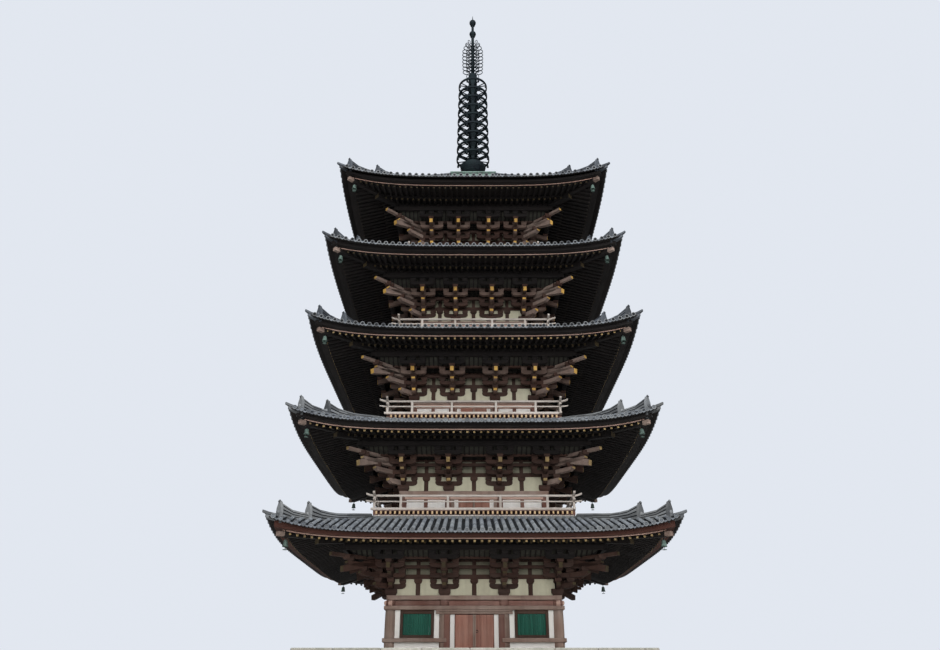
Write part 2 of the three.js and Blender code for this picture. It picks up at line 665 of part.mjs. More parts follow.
function makeBalcony(storey) {
  const half = halfSpan(storey);
  const bay = doorBayHalf(storey);
  const floor = PLATE_TOPS[storey - 1] + SHELF_HEIGHT + GAP;
  const { reach, base, baseOuter, waistOuter, waistInner, deckBottom, deckTop } = BALCONY;
  const inner = UPPER_REACH + GAP;
  const deck = loftedRing([
    [waistInner, 0], [baseOuter, 0], [baseOuter, base], [waistOuter, base], [waistOuter, deckBottom],
    [reach, deckBottom], [reach, deckTop], [inner, deckTop], [inner, deckBottom], [waistInner, deckBottom],
  ].map(([out, height]) => [half + out, floor + height]));
  const { rail, railCentre, post: postWidth, top, ends } = BALCONY;
  const centre = half + railCentre;
  const span = (place, width) => [place - width / 2, place + width / 2];
  const topRail = block([-(centre + ends), centre + ends], span(-centre, rail), span(floor + top, rail));
  const posts = [-centre, -bay, bay].map((x) => (
    block(span(x, postWidth), span(-centre, postWidth), [floor + deckTop - OVERLAP, floor + top])
  ));
  return fuse([deck, ...[...posts, topRail].flatMap(fourSides)]);
}

// Spire

function makeSpireBase() {
  const bottom = PLATE_TOPS[STOREYS - 1] + TOP_ROOF_HEIGHT + GAP;
  const half = DEW_BASIN_HALF;
  const rim = half + DEW_BASIN_RIM.proud;
  const profile = [[0, 0], ...LOTUS_OUTLINE, [SHAFT_RADIUS, LOTUS_HEIGHT], [0, LOTUS_HEIGHT]];
  return fuse([
    block([-half, half], [-half, half], [bottom, DEW_BASIN_TOP]),
    block([-rim, rim], [-rim, rim], [DEW_BASIN_TOP - DEW_BASIN_RIM.height, DEW_BASIN_TOP]),
    turning(profile, LOTUS_SIDES).translate(0, 0, BOWL_FOOT),
  ]);
}

function makeSpireRings() {
  const bottom = BOWL_FOOT + LOTUS_HEIGHT + GAP;
  const pieces = [post([0, 0], SHAFT_RADIUS, [bottom, FLAME_HEIGHTS[0]], SHAFT_SIDES)];
  for (let ring = 0; ring < RING_COUNT; ring += 1) {
    const share = ring / (RING_COUNT - 1);
    const height = THREE.MathUtils.lerp(...RING_HEIGHTS, share);
    const radius = THREE.MathUtils.lerp(...RING_RADII, share);
    const { thick, height: bandHeight, sides } = RING_BAND;
    const band = turning([
      [radius - thick, height - bandHeight / 2], [radius, height - bandHeight / 2],
      [radius, height + bandHeight / 2], [radius - thick, height + bandHeight / 2],
      [radius - thick, height - bandHeight / 2],
    ], sides);
    const across = [-SPOKE_WIDTH / 2, SPOKE_WIDTH / 2];
    const along = [-(radius - thick / 2), radius - thick / 2];
    const spoke = block(along, across, across.map((offset) => height + offset));
    pieces.push(band, spoke.rotateZ((ring * Math.PI) / 4));
  }
  return fuse(pieces);
}

// One of the four openwork flame fins, outlined as [distance outward, height above its foot]
function flameFin() {
  const height = FLAME_HEIGHTS[1] - FLAME_HEIGHTS[0];
  const edge = [];
  for (let tongue = 0; tongue < FLAME_TONGUES; tongue += 1) {
    const foot = (height * tongue) / FLAME_TONGUES;
    const reach = FLAME_HALF * (1 - FLAME_TAPER * tongue);
    edge.push([reach * TONGUE.notch, foot + TONGUE.foot], [reach, foot + TONGUE.tip]);
  }
  const fin = new THREE.ExtrudeGeometry(
    flameOutline(edge, height), { depth: FLAME_THICKNESS, bevelEnabled: false },
  );
  return fin.rotateX(Math.PI / 2).translate(0, FLAME_THICKNESS / 2, FLAME_HEIGHTS[0]);
}

function flameOutline(edge, height) {
  const shape = outline([[0, 0], ...edge, [FLAME_TOP_HALF, height], [0, height]]);
  for (let tongue = 0; tongue < FLAME_TONGUES; tongue += 1) {
    const foot = (height * tongue) / FLAME_TONGUES;
    shape.holes.push(outline(FLAME_OPENING.map(([out, up]) => [out, foot + up])));
  }
  return shape;
}

function makeSpireFinial() {
  const ball = ([height, radius]) => (
    new THREE.SphereGeometry(radius, JEWEL_SIDES, JEWEL_BANDS).rotateX(Math.PI / 2).translate(0, 0, height)
  );
  return fuse([
    post([0, 0], FINIAL_ROD_RADIUS, [FLAME_HEIGHTS[0] + GAP, SPIRE_TOP - PIN_HEIGHT], SHAFT_SIDES),
    post([0, 0], PIN_RADIUS, [SPIRE_TOP - PIN_HEIGHT - OVERLAP, SPIRE_TOP], SHAFT_SIDES),
    ...fourSides(flameFin().translate(0, 0, GAP)),
    ...JEWELS.map(ball),
  ]);
}

// The whole, from the ground up

const SIDES = ['front', 'right', 'back', 'left'];
const CORNERS = ['front_left', 'front_right', 'back_right', 'back_left'];

addPiece('podium', makePodium(), stone);
fourSides(makeSteps()).forEach((flight, side) => addPiece(`steps_${SIDES[side]}`, flight, stone));
addPiece('floor', makeFloor(), stone);
addPiece('sill_beam', makeSill(), timber);
fourSides(makeCornerFrame()).forEach((frame, corner) => addPiece(`corner_frame_${CORNERS[corner]}`, frame, timber));
addPiece('head_beams', makeHeadBeams(), timber);

for (const [hand, direction] of [['left', -1], ['right', 1]]) {
  fourSides(makeBayWall(direction)).forEach((wall, side) => addPiece(`wall_${SIDES[side]}_${hand}`, wall, plaster));
  addPiece(`door_leaf_${hand}`, makeDoorLeaf(direction), doorBoards);
}
fourSides(makeClosedDoor()).forEach((door, side) => {
  if (side > 0) addPiece(`door_${SIDES[side]}`, door, doorBoards);
});

for (let storey = 0; storey < STOREYS; storey += 1) {
  const number = storey + 1;
  if (storey > 0) {
    addPiece(`storey_${number}`, makeUpperStorey(storey), timber);
    addPiece(`balcony_${number}`, makeBalcony(storey), paleTimber);
  }
  addPiece(`bracket_wall_${number}`, makeBracketWall(storey), plaster);
  addPiece(`brackets_${number}`, makeBrackets(storey), darkTimber);
  addPiece(`eaves_${number}`, makeEaves(storey), darkTimber);
  addPiece(`roof_${number}`, makeRoof(storey), tile);
}

const pillarHeights = [PODIUM_HEIGHT + GAP, PLATE_TOPS[STOREYS - 1] + TOP_ROOF_HEIGHT];
addPiece('heart_pillar', post([0, 0], PILLAR_RADIUS, pillarHeights, ROUND_SIDES), timber);
addPiece('spire_base', makeSpireBase(), bronze);
addPiece('spire_rings', makeSpireRings(), bronze);
addPiece('spire_finial', makeSpireFinial(), bronze);

export default pagoda;
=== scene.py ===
# %% [markdown]
# # A five-storey timber pagoda
# This lesson dresses the plain solids of a pagoda with everything that a carpenter, a tiler and a
# bronze founder would add. The solids arrive as a fixed frame, in metres, with +Z up and the front
# facing -Y. The tower is square, so nearly every piece is made once for the front and then turned
# to the other three sides.

import math
import random

import bpy
import numpy as np
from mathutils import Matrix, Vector


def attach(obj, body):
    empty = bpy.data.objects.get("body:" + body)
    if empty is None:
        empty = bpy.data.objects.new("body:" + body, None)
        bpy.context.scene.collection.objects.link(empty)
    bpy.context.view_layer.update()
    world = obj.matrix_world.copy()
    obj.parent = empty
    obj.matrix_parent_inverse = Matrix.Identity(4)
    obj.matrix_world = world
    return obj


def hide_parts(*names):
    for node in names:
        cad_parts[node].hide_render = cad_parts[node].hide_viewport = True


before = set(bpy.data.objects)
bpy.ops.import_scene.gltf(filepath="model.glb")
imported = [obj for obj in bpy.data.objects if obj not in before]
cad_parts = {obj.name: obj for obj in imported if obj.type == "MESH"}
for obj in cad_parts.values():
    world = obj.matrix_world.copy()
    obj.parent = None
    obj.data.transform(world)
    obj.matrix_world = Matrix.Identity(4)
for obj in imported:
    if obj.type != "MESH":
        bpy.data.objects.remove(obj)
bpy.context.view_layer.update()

# %% [markdown]
# ## The driving sizes
# A tower like this is drawn from a few sizes: the span between corner columns on each floor, and the
# height of each wall plate, the flat beam on which the brackets stand. We keep the same sizes as the
# solids. Most places are then given as `out`, the distance outward from a storey's column line, and
# as a height above its wall plate. That way the same few lines build all five storeys.

# %% Driving sizes
STOREYS = 5
PLATE_TOPS = [3.35, 7.58, 11.77, 15.94, 19.97]
GROUND_SPAN = 6.63
SPAN_STEP = 0.605
DOOR_BAY_SHARE = 2.37 / 6.63
OVERHANG = 4.25
SHELF_REACH = 0.76
SHELF_HEIGHT = 2.87
ROOF_EDGE_HEIGHT = 1.79
TOP_ROOF_HEIGHT = 5.5
TOP_ROOF_FLAT = 1.3
HIP_LIFTS = [0.42, 0.42, 0.45, 0.38, 0.43]
TIMBER_LIFTS = [0.42, 0.58, 0.56, 0.52, 0.66]
TILE_LIFTS = [0.60, 0.62, 0.66, 0.61, 0.66]
LIFT_POWERS = [5.0, 4.5, 4.3, 4.0, 3.8]


def half_span(storey):
    return (GROUND_SPAN - SPAN_STEP * storey) / 2


def bay_half(storey):
    return half_span(storey) * DOOR_BAY_SHARE


for storey in range(STOREYS):
    span = round(2 * half_span(storey), 2)
    print("Storey", storey + 1, "spans", span, "m, with its wall plate at", PLATE_TOPS[storey], "m")

# %% [markdown]
# ## The camera
# The picture was taken from low down and close by, so the tower leans away upward. We use the same
# lens and tilt: the camera stands 35 m in front, almost at ground level, and looks up by 26 degrees.

# %% Camera
IMAGE_WIDTH = 940
FOCAL_PIXELS = 746.13
CAMERA_TILT = 26.044

camera = bpy.data.objects.new("camera", bpy.data.cameras.new("camera"))
camera.data.sensor_width = 36
camera.data.lens = 36 * FOCAL_PIXELS / IMAGE_WIDTH
camera.data.clip_end = 500
camera.location = (-0.17, -34.812, -0.012)
camera.rotation_euler = (math.radians(90 + CAMERA_TILT), 0, 0)
bpy.context.scene.collection.objects.link(camera)
bpy.context.scene.camera = camera
print("Lens", round(camera.data.lens, 2), "mm")

# %% [markdown]
# ## Gathering parts
# A pagoda has tens of thousands of parts, far too many for one Blender object each. So we collect
# points and faces in plain lists, and later make one mesh from them. Joining thousands of objects with
# the Join operator would give the same mesh but take minutes. Each part also gets two notes that the
# materials read later: a random tone, because no two boards are alike, and coordinates that run along
# its grain. A closed part is turned right side out by the sign of its volume.

# %% Gathering parts
chance = random.Random(11)
FINISHES = {}
GRAIN_AXES = {"x": (0, 1, 2), "y": (1, 2, 0), "z": (2, 0, 1)}


class Parts:
    """The parts of one object. Places are (x, out, height) on the front of the tower."""

    def __init__(self, half=0.0, base=0.0):
        self.half = half
        self.base = base
        self.points, self.grain, self.faces = [], [], []
        self.finish, self.tone, self.smooth = [], [], []

    def at(self, x, out, height):
        return (x, -(self.half + out), self.base + height)

    def add(self, points, faces, finish, grain="x", smooth=False, facing=None, tones=None):
        """Adds one part, in one finish or one for each face. Facing is given for an open sheet."""
        points = np.asarray(points, dtype=float)
        fans = [[(face[0], face[i], face[i + 1]) for i in range(1, len(face) - 1)] for face in faces]
        triangles = np.array([triangle for fan in fans for triangle in fan])
        first = points[triangles[:, 0]]
        normals = np.cross(points[triangles[:, 1]] - first, points[triangles[:, 2]] - first)
        toward = first - points[0] if facing is None else np.asarray(facing)
        if (normals * toward).sum() < 0:
            faces = [tuple(reversed(face)) for face in faces]
        shift = np.array([chance.uniform(-40, 40) for _ in range(3)])
        along = points[:, GRAIN_AXES[grain]] if isinstance(grain, str) else np.asarray(grain)
        start = len(self.points)
        self.points.extend(points.tolist())
        self.grain.extend((along + shift).tolist())
        self.faces.extend([start + corner for corner in face] for face in faces)
        self.finish.extend([finish] * len(faces) if isinstance(finish, str) else finish)
        self.tone.extend(tones or [chance.random()] * len(faces))
        self.smooth.extend([smooth] * len(faces))


print("Grain can run along", ", ".join(GRAIN_AXES))

# %% [markdown]
# The tower looks the same from all four sides, so its front is copied in quarter turns. An Array
# modifier round an empty could do this too, but then every side would repeat the same boards with the
# same tones. Here each side draws its own.

# %% Quarter turns
def four_sides(front, turns=(0, 1, 2, 3)):
    """The same parts on all four sides of the square plan, or on some of them, with new tones."""
    whole = Parts(front.half, front.base)
    for turn in turns:
        fresh = {tone: chance.random() for tone in sorted(set(front.tone))}
        cos, sin = round(math.cos(turn * math.pi / 2)), round(math.sin(turn * math.pi / 2))
        start = len(whole.points)
        whole.points.extend((cos * x - sin * y, sin * x + cos * y, z) for x, y, z in front.points)
        whole.faces.extend([start + corner for corner in face] for face in front.faces)
        whole.grain.extend(front.grain)
        whole.finish.extend(front.finish)
        whole.tone.extend(fresh[tone] for tone in front.tone)
        whole.smooth.extend(front.smooth)
    return whole


Parts.four_sides = four_sides
print("Quarter turns of", [90 * turn for turn in range(4)], "degrees")

# %% [markdown]
# Now the lists become a Blender mesh. `from_pydata` takes points and faces as they are, and
# `foreach_set` fills in a number for each face far faster than a loop would. The two notes become mesh
# attributes, which the materials find by name. Last, the piece is put on its body of the frame, and
# takes the place of the plain solids that it dresses.

# %% From parts to a piece
def make(parts, name, slot, replaced, body="root"):
    """Makes the object, gives it its finishes and puts it in its nodes' place."""
    mesh = bpy.data.meshes.new(name)
    mesh.from_pydata(parts.points, [], parts.faces)
    finishes = sorted(set(parts.finish))
    for finish in finishes:
        mesh.materials.append(FINISHES[finish])
    numbers = {finish: number for number, finish in enumerate(finishes)}
    mesh.polygons.foreach_set("material_index", [numbers[finish] for finish in parts.finish])
    mesh.polygons.foreach_set("use_smooth", parts.smooth)
    mesh.attributes.new("tone", "FLOAT", "FACE").data.foreach_set("value", parts.tone)
    grain = mesh.attributes.new("grain", "FLOAT_VECTOR", "POINT")
    grain.data.foreach_set("vector", np.asarray(parts.grain).ravel())
    piece = bpy.data.objects.new(name, mesh)
    bpy.context.scene.collection.objects.link(piece)
    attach(piece, body)
    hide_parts(*replaced)
    triangles = sum(len(face) - 2 for face in parts.faces)
    print(f"{name}: {len(parts.faces)} faces, {triangles} triangles")
    return piece


Parts.make = make
print("A piece notes a tone and a grain on each of its parts")

# %% [markdown]
# ## A carpenter's few shapes
# Almost everything on the tower is one of four shapes: a squared timber with its sharp edges taken
# off, a plank sawn to an outline, a turned piece, or a run whose section follows a curve. A chamfered
# timber could come from a Bevel modifier, but writing its 24 points ourselves is quick and lets
# thousands of timbers share one mesh.

# %% Faces of a squared timber
SIGNS = [(sx, sy, sz) for sx in (-1, 1) for sy in (-1, 1) for sz in (-1, 1)]
TIMBER_POINTS = [(sign, axis) for sign in SIGNS for axis in range(3)]


def timber_faces():
    """The 26 faces of a chamfered box, each from the points that lie furthest its way."""
    faces = []
    for direction in np.ndindex(3, 3, 3):
        way = np.array(direction) - 1
        used = [axis for axis in range(3) if way[axis]]
        if not used:
            continue
        corners = [
            number for number, (sign, axis) in enumerate(TIMBER_POINTS)
            if axis in used and all(sign[a] == way[a] for a in used)
        ]
        across = np.cross(way, (0.31, 0.52, 0.79))
        beside = np.cross(way, across)
        places = []
        for sign, axis in (TIMBER_POINTS[corner] for corner in corners):
            places.append(np.array(sign) * np.where(np.arange(3) == axis, 1.2, 1))
        middle = np.mean(places, axis=0)
        turn = [math.atan2((place - middle) @ beside, (place - middle) @ across) for place in places]
        faces.append(tuple(corner for _, corner in sorted(zip(turn, corners))))
    return faces


TIMBER_FACES = timber_faces()
BOX_FACES = [(0, 1, 3, 2), (4, 6, 7, 5), (0, 4, 5, 1), (2, 3, 7, 6), (0, 2, 6, 4), (1, 5, 7, 3)]
print(len(TIMBER_FACES), "faces on a chamfered timber,", len(BOX_FACES), "on a plain one")

# %% [markdown]
# A timber is placed by its limits: from x to x, from out to out, from height to height. That is how a
# carpenter marks it too. Pieces that only show as a thin edge stay without a chamfer, which saves
# faces, and a slab takes eight free corners for whatever leans or tapers.

# %% Squared timber
def timber(parts, x, out, height, finish, grain="x", chamfer=0.0):
    """A squared timber between two limits each of x, out and height."""
    low = np.array(parts.at(x[0], max(out), height[0]))
    high = np.array(parts.at(x[1], min(out), height[1]))
    middle, reach = (low + high) / 2, (high - low) / 2
    if not chamfer:
        parts.add([middle + reach * sign for sign in SIGNS], BOX_FACES, finish, grain)
        return
    points = []
    for sign, axis in TIMBER_POINTS:
        inset = np.full(3, min(chamfer, min(reach) * 0.9))
        inset[axis] = 0
        points.append(middle + (reach - inset) * sign)
    parts.add(points, TIMBER_FACES, finish, grain)


def slab(parts, corners, finish, grain="x"):
    """A box with its eight corners given, in the order of SIGNS."""
    parts.add(corners, BOX_FACES, finish, grain)


print("A timber has", len(TIMBER_POINTS), "points, and a slab", len(SIGNS))

# %% [markdown]
# A plank is an outline pushed through its thickness, as if sawn out and seen from its flat side. A
# curve object with an extrusion could make it, but would have to be turned into a mesh first. The
# outline may bend inward, because Blender fills such a face correctly.

# %% Planks
ALONG, OUTWARD, UPRIGHT = (1, 0, 0), (0, -1, 0), (0, 0, 1)


def plank(parts, outline, origin, u, v, thickness, finish):
    """An outline of (u, v) places, pushed evenly to both sides of its plane."""
    u, v, origin = np.asarray(u, float), np.asarray(v, float), np.asarray(origin, float)
    side = np.cross(u, v) * thickness / 2
    flat = [origin + a * u + b * v for a, b in outline]
    count = len(flat)
    points = [point - side for point in flat] + [point + side for point in flat]
    faces = [tuple(range(count)), tuple(range(2 * count - 1, count - 1, -1))]
    faces += [(i, count + i, count + (i + 1) % count, (i + 1) % count) for i in range(count)]
    along = [(a, b, w) for w in (0, thickness) for a, b in outline]
    parts.add(points, faces, finish, along)


print("A plank of four corners has", 4 + 2, "faces")

# %% [markdown]
# A run is a stack of rings, each with the same number of points, skinned one to the next. A turned
# piece is a run whose rings are circles, just as a lathe would leave it. Blender's Screw modifier does
# the same, but one such modifier for each of the thousands of bars, blocks and bells would be slow.

# %% Runs and turned pieces
THINNEST = 0.0005


def ring_faces(rows, count):
    """The faces between rings of points that lie one after the other in a list."""
    faces = []
    for row in range(rows - 1):
        here, there = row * count, (row + 1) * count
        for i in range(count):
            j = (i + 1) % count
            faces.append((here + i, here + j, there + j, there + i))
    return faces


def end_faces(rows, count):
    return [tuple(range(count - 1, -1, -1)), tuple(range((rows - 1) * count, rows * count))]


def run(parts, rings, finish, grain="x", smooth=False, ends=True):
    """A skin over rings of points, closed at both ends or left open."""
    rows, count = len(rings), len(rings[0])
    faces = ring_faces(rows, count) + (end_faces(rows, count) if ends else [])
    parts.add([point for ring in rings for point in ring], faces, finish, grain, smooth)


def turned(
    parts, centre, profile, sides, finish, axis=UPRIGHT, grain="z", phase=0.0, smooth=True, ends=True,
):
    """A piece turned round an axis. Its profile is (radius, distance along the axis)."""
    axis = np.asarray(axis, float) / np.linalg.norm(axis)
    across = np.cross(axis, (0, 1, 0) if abs(axis[1]) < 0.9 else (1, 0, 0))
    across /= np.linalg.norm(across)
    beside = np.cross(axis, across)
    rings = []
    for radius, along in profile:
        angles = [phase + 2 * math.pi * i / sides for i in range(sides)]
        middle = np.asarray(centre, float) + axis * along
        radius = max(radius, THINNEST)
        rings.append([middle + radius * (math.cos(a) * across + math.sin(a) * beside) for a in angles])
    run(parts, rings, finish, grain, smooth, ends)


print("A ring of eight points and its neighbour share", len(ring_faces(2, 8)), "faces")

# %% [markdown]
# ## Finishes
# Old timber, clay and bronze never show one flat colour. Three effects turn up in nearly every finish
# here, so each is a node group that is built once: the grain of the wood, the difference from one
# board to the next, and the weather. The groups only hand out numbers. Each finish then mixes its own
# colours from them, which keeps the shader itself simple.

# %% Placing and linking nodes
def feed(tree, sockets, values):
    """Gives each socket a link or a plain value."""
    for socket, value in zip(sockets, values):
        if isinstance(value, bpy.types.NodeSocket):
            tree.links.new(value, socket)
        else:
            socket.default_value = (*value, 1) if socket.type == "RGBA" else value


def node(tree, kind, settings=None, **inputs):
    """A new node with its settings, and its inputs linked or set by name."""
    made = tree.nodes.new("ShaderNode" + kind)
    for name, value in (settings or {}).items():
        setattr(made, name, value)
    feed(tree, [made.inputs[name.replace("_", " ")] for name in inputs], inputs.values())
    return made


print("A node is asked for by its type without the first word, as in TexNoise")

# %% [markdown]
# Three nodes do nearly all the arithmetic of a finish. Math reckons with numbers, Mix blends two
# colours, and Map Range picks a narrow band out of a noise and stretches it from 0 to 1.

# %% Reckoning with nodes
RANGE_SOCKETS = ("From Min", "From Max", "To Min", "To Max")


def reckon(tree, operation, first, second=0.0, third=0.0, clamp=False):
    made = node(tree, "Math", {"operation": operation, "use_clamp": clamp})
    feed(tree, made.inputs, (first, second, third))
    return made.outputs[0]


def mixed(tree, share, first, second):
    """Two colours mixed by a share."""
    made = node(tree, "Mix", {"data_type": "RGBA"})
    feed(tree, (made.inputs[0], made.inputs[6], made.inputs[7]), (share, first, second))
    return made.outputs[2]


def spread(tree, value, low, high, new_low=0.0, new_high=1.0):
    """A value's range from low to high, spread over a new range and held there."""
    made = node(tree, "MapRange", None, Value=value)
    feed(tree, [made.inputs[name] for name in RANGE_SOCKETS], (low, high, new_low, new_high))
    return made.outputs[0]


print("Map Range takes", ", ".join(RANGE_SOCKETS))

# %% [markdown]
# A node group is a small tree of its own with named sockets. It is made once, and every material that
# places it shares it, so a better grain here is a better grain on all the timber.

# %% An empty node group
def effect(name, inputs, outputs):
    """An empty node group with named sockets, and its two end nodes."""
    group = bpy.data.node_groups.new(name, "ShaderNodeTree")
    for label, value in inputs.items():
        socket = group.interface.new_socket(label, in_out="INPUT", socket_type="NodeSocketFloat")
        socket.default_value = value
    for label in outputs:
        group.interface.new_socket(label, in_out="OUTPUT", socket_type="NodeSocketFloat")
    return group, group.nodes.new("NodeGroupInput"), group.nodes.new("NodeGroupOutput")


print("Node groups so far:", len(bpy.data.node_groups))

# %% [markdown]
# Wood grain is noise that is stretched along the board. It reads the grain coordinates that each part
# carries, so the streaks follow a rafter just as they follow a column. A second, finer noise is cut
# off high to leave only thin drying cracks.

# %% Grain of the wood
grain_effect, given, result = effect("wood_grain", {"Fineness": 1.0}, ["Streaks", "Height"])
place = node(grain_effect, "Attribute", {"attribute_name": "grain"}).outputs["Vector"]
stretch = node(grain_effect, "Mapping", None, Vector=place, Scale=(0.5, 9, 9)).outputs["Vector"]
fineness = given.outputs["Fineness"]
streaks = node(grain_effect, "TexNoise", None, Vector=stretch, Scale=fineness, Detail=5.0, Roughness=0.65)
streaks = streaks.outputs["Fac"]
stretch = node(grain_effect, "Mapping", None, Vector=place, Scale=(1.2, 45, 45)).outputs["Vector"]
cracks = node(grain_effect, "TexNoise", None, Vector=stretch, Scale=fineness, Detail=2.0).outputs["Fac"]
cracks = spread(grain_effect, cracks, 0.62, 0.70)
streaks = spread(grain_effect, streaks, 0.3, 0.7)
grain_effect.links.new(streaks, result.inputs["Streaks"])
height = reckon(grain_effect, "SUBTRACT", streaks, reckon(grain_effect, "MULTIPLY", cracks, 2.0))
grain_effect.links.new(height, result.inputs["Height"])
print("Made", grain_effect.name, "with", len(grain_effect.nodes), "nodes")

# %% [markdown]
# Weather is felt in three ways. Broad patches have bleached more than others. Rain leaves runs down
# every upright face. And dust, lichen and bird droppings gather on what faces the sky. The last one
# needs only the surface's own upward lean, which the Geometry node knows.

# %% Weather
weather_effect, given, result = effect("weather", {"Size": 1.0}, ["Patches", "Runs", "Skyward"])
place = node(weather_effect, "TexCoord").outputs["Object"]
size = given.outputs["Size"]
patches = node(weather_effect, "TexNoise", None, Vector=place, Scale=size, Detail=4.0).outputs["Fac"]
weather_effect.links.new(spread(weather_effect, patches, 0.35, 0.68), result.inputs["Patches"])
stretch = node(weather_effect, "Mapping", None, Vector=place, Scale=(5, 5, 0.35)).outputs["Vector"]
runs = node(weather_effect, "TexNoise", None, Vector=stretch, Scale=size, Detail=3.0).outputs["Fac"]
weather_effect.links.new(spread(weather_effect, runs, 0.45, 0.75), result.inputs["Runs"])
normal = node(weather_effect, "NewGeometry").outputs["Normal"]
upward = node(weather_effect, "SeparateXYZ", None, Vector=normal).outputs["Z"]
weather_effect.links.new(spread(weather_effect, upward, 0.2, 0.9), result.inputs["Skyward"])
print("Made", weather_effect.name, "with", len(weather_effect.nodes), "nodes")

# %% [markdown]
# The third effect reads the tone that each part was given. Spread says how far the parts of one finish
# stray from each other: old boards a lot, new plaster hardly.

# %% Tone of a part
tone_effect, given, result = effect("part_tone", {"Spread": 1.0}, ["Tone"])
tone = node(tone_effect, "Attribute", {"attribute_name": "tone"}).outputs["Fac"]
centred = reckon(tone_effect, "SUBTRACT", tone, 0.5)
centred = reckon(tone_effect, "MULTIPLY", centred, given.outputs["Spread"])
tone_effect.links.new(reckon(tone_effect, "ADD", centred, 0.5, clamp=True), result.inputs["Tone"])
print("Made", tone_effect.name, "with", len(tone_effect.nodes), "nodes")

# %% [markdown]
# Every finish starts from the Principled BSDF, Blender's all-round shader, and ends the same way: a
# colour, a roughness, and a Bump node that turns a height into a slight unevenness.

# %% Starting and ending a finish
def start_finish(name):
    """A new material on the list of finishes: its node tree and its shader."""
    material = bpy.data.materials.new(name)
    FINISHES[name] = material
    material.use_nodes = True
    tree = material.node_tree
    return tree, tree.nodes["Principled BSDF"]


def add_effect(tree, group, **values):
    made = tree.nodes.new("ShaderNodeGroup")
    made.node_tree = group
    for label, value in values.items():
        made.inputs[label].default_value = value
    return made


def finish_surface(tree, shader, colour, roughness, height, bump):
    tree.links.new(colour, shader.inputs["Base Color"])
    tree.links.new(roughness, shader.inputs["Roughness"])
    raised = node(tree, "Bump", None, Height=height, Strength=0.6, Distance=bump)
    tree.links.new(raised.outputs["Normal"], shader.inputs["Normal"])


print("Effects to place in a finish:", ", ".join(group.name for group in bpy.data.node_groups))

# %% [markdown]
# One function makes all the timber finishes. It mixes a dark and a light colour by grain and board,
# bleaches it where the weather says so, and darkens it under the runs.

# %% Timber finish
def timber_finish(name, dark, light, bleached, bleach, runs):
    tree, shader = start_finish(name)
    grain = add_effect(tree, grain_effect, Fineness=1.0)
    weather = add_effect(tree, weather_effect, Size=0.9)
    tone = add_effect(tree, tone_effect, Spread=1.0)
    share = reckon(tree, "MULTIPLY", grain.outputs["Streaks"], 0.5)
    share = reckon(tree, "MULTIPLY_ADD", tone.outputs["Tone"], 0.5, share, clamp=True)
    colour = mixed(tree, share, dark, light)
    colour = mixed(tree, reckon(tree, "MULTIPLY", weather.outputs["Patches"], bleach), colour, bleached)
    worn = reckon(tree, "MULTIPLY", weather.outputs["Skyward"], bleach)
    colour = mixed(tree, worn, colour, bleached)
    colour = mixed(tree, reckon(tree, "MULTIPLY", weather.outputs["Runs"], runs), colour, dark)
    roughness = spread(tree, grain.outputs["Streaks"], 0, 1, 0.72, 0.92)
    finish_surface(tree, shader, colour, roughness, grain.outputs["Height"], 0.012)
    shader.inputs["Specular IOR Level"].default_value = 0.3


print("A timber finish mixes a dark, a light and a bleached colour")

# %% [markdown]
# The tower has many kinds of timber. Door boards and wall frames still have some of their red earth
# colour. The brackets are darker, and the rafters deep under the eaves are painted almost black with the
# shade they lie in. Rails and corner beams have bleached, and the corner beams and the arms of the upper
# storeys are also painted lighter for the light they catch. The sawn ends are painted yellow, and that
# paint is bright where the upper storeys catch light and painted darker with shade lower down and deep
# under the eaves. For each: the dark, light and bleached colour, how far it bleaches, and how strongly
# the rain darkens it.

# %% Kinds of timber
TIMBERS = {
    "door_boards": ((0.16, 0.055, 0.038), (0.44, 0.205, 0.150), (0.46, 0.31, 0.25), 0.35, 0.4),
    "red_timber": ((0.10, 0.040, 0.030), (0.28, 0.135, 0.105), (0.34, 0.24, 0.20), 0.35, 0.4),
    "grey_timber": ((0.13, 0.080, 0.062), (0.32, 0.215, 0.170), (0.42, 0.34, 0.29), 0.5, 0.4),
    "frame_timber": ((0.030, 0.016, 0.011), (0.085, 0.045, 0.032), (0.12, 0.08, 0.06), 0.3, 0.4),
    "bracket_timber": ((0.022, 0.010, 0.007), (0.075, 0.035, 0.025), (0.12, 0.085, 0.068), 0.25, 0.4),
    "arm_timber": ((0.110, 0.070, 0.055), (0.36, 0.260, 0.215), (0.42, 0.34, 0.29), 0.35, 0.4),
    "dark_timber": ((0.004, 0.003, 0.003), (0.014, 0.010, 0.009), (0.022, 0.018, 0.016), 0.3, 0.4),
    "pale_timber": ((0.33, 0.280, 0.240), (0.60, 0.530, 0.470), (0.74, 0.69, 0.64), 0.5, 0.3),
    "eave_board": ((0.34, 0.195, 0.150), (0.66, 0.430, 0.350), (0.60, 0.48, 0.41), 0.3, 0.25),
    "lattice_green": ((0.010, 0.065, 0.045), (0.030, 0.165, 0.115), (0.08, 0.20, 0.16), 0.2, 0.2),
    "fascia_red": ((0.028, 0.009, 0.006), (0.078, 0.026, 0.017), (0.10, 0.055, 0.04), 0.2, 0.3),
    "worn_timber": ((0.050, 0.028, 0.021), (0.20, 0.130, 0.102), (0.26, 0.20, 0.165), 0.35, 0.4),
    "end_paint": ((0.28, 0.150, 0.035), (0.85, 0.500, 0.105), (0.64, 0.46, 0.22), 0.25, 0.2),
    "cream_paint": ((0.34, 0.220, 0.090), (0.82, 0.620, 0.330), (0.66, 0.54, 0.36), 0.25, 0.2),
    "rafter_paint": ((0.10, 0.058, 0.022), (0.52, 0.360, 0.145), (0.44, 0.36, 0.24), 0.25, 0.2),
    "faded_paint": ((0.020, 0.013, 0.007), (0.085, 0.060, 0.025), (0.10, 0.08, 0.05), 0.25, 0.3),
}
for name, (dark, light, bleached, bleach, runs) in TIMBERS.items():
    timber_finish(name, dark, light, bleached, bleach, runs)
print(len(TIMBERS), "kinds of timber:", ", ".join(TIMBERS))
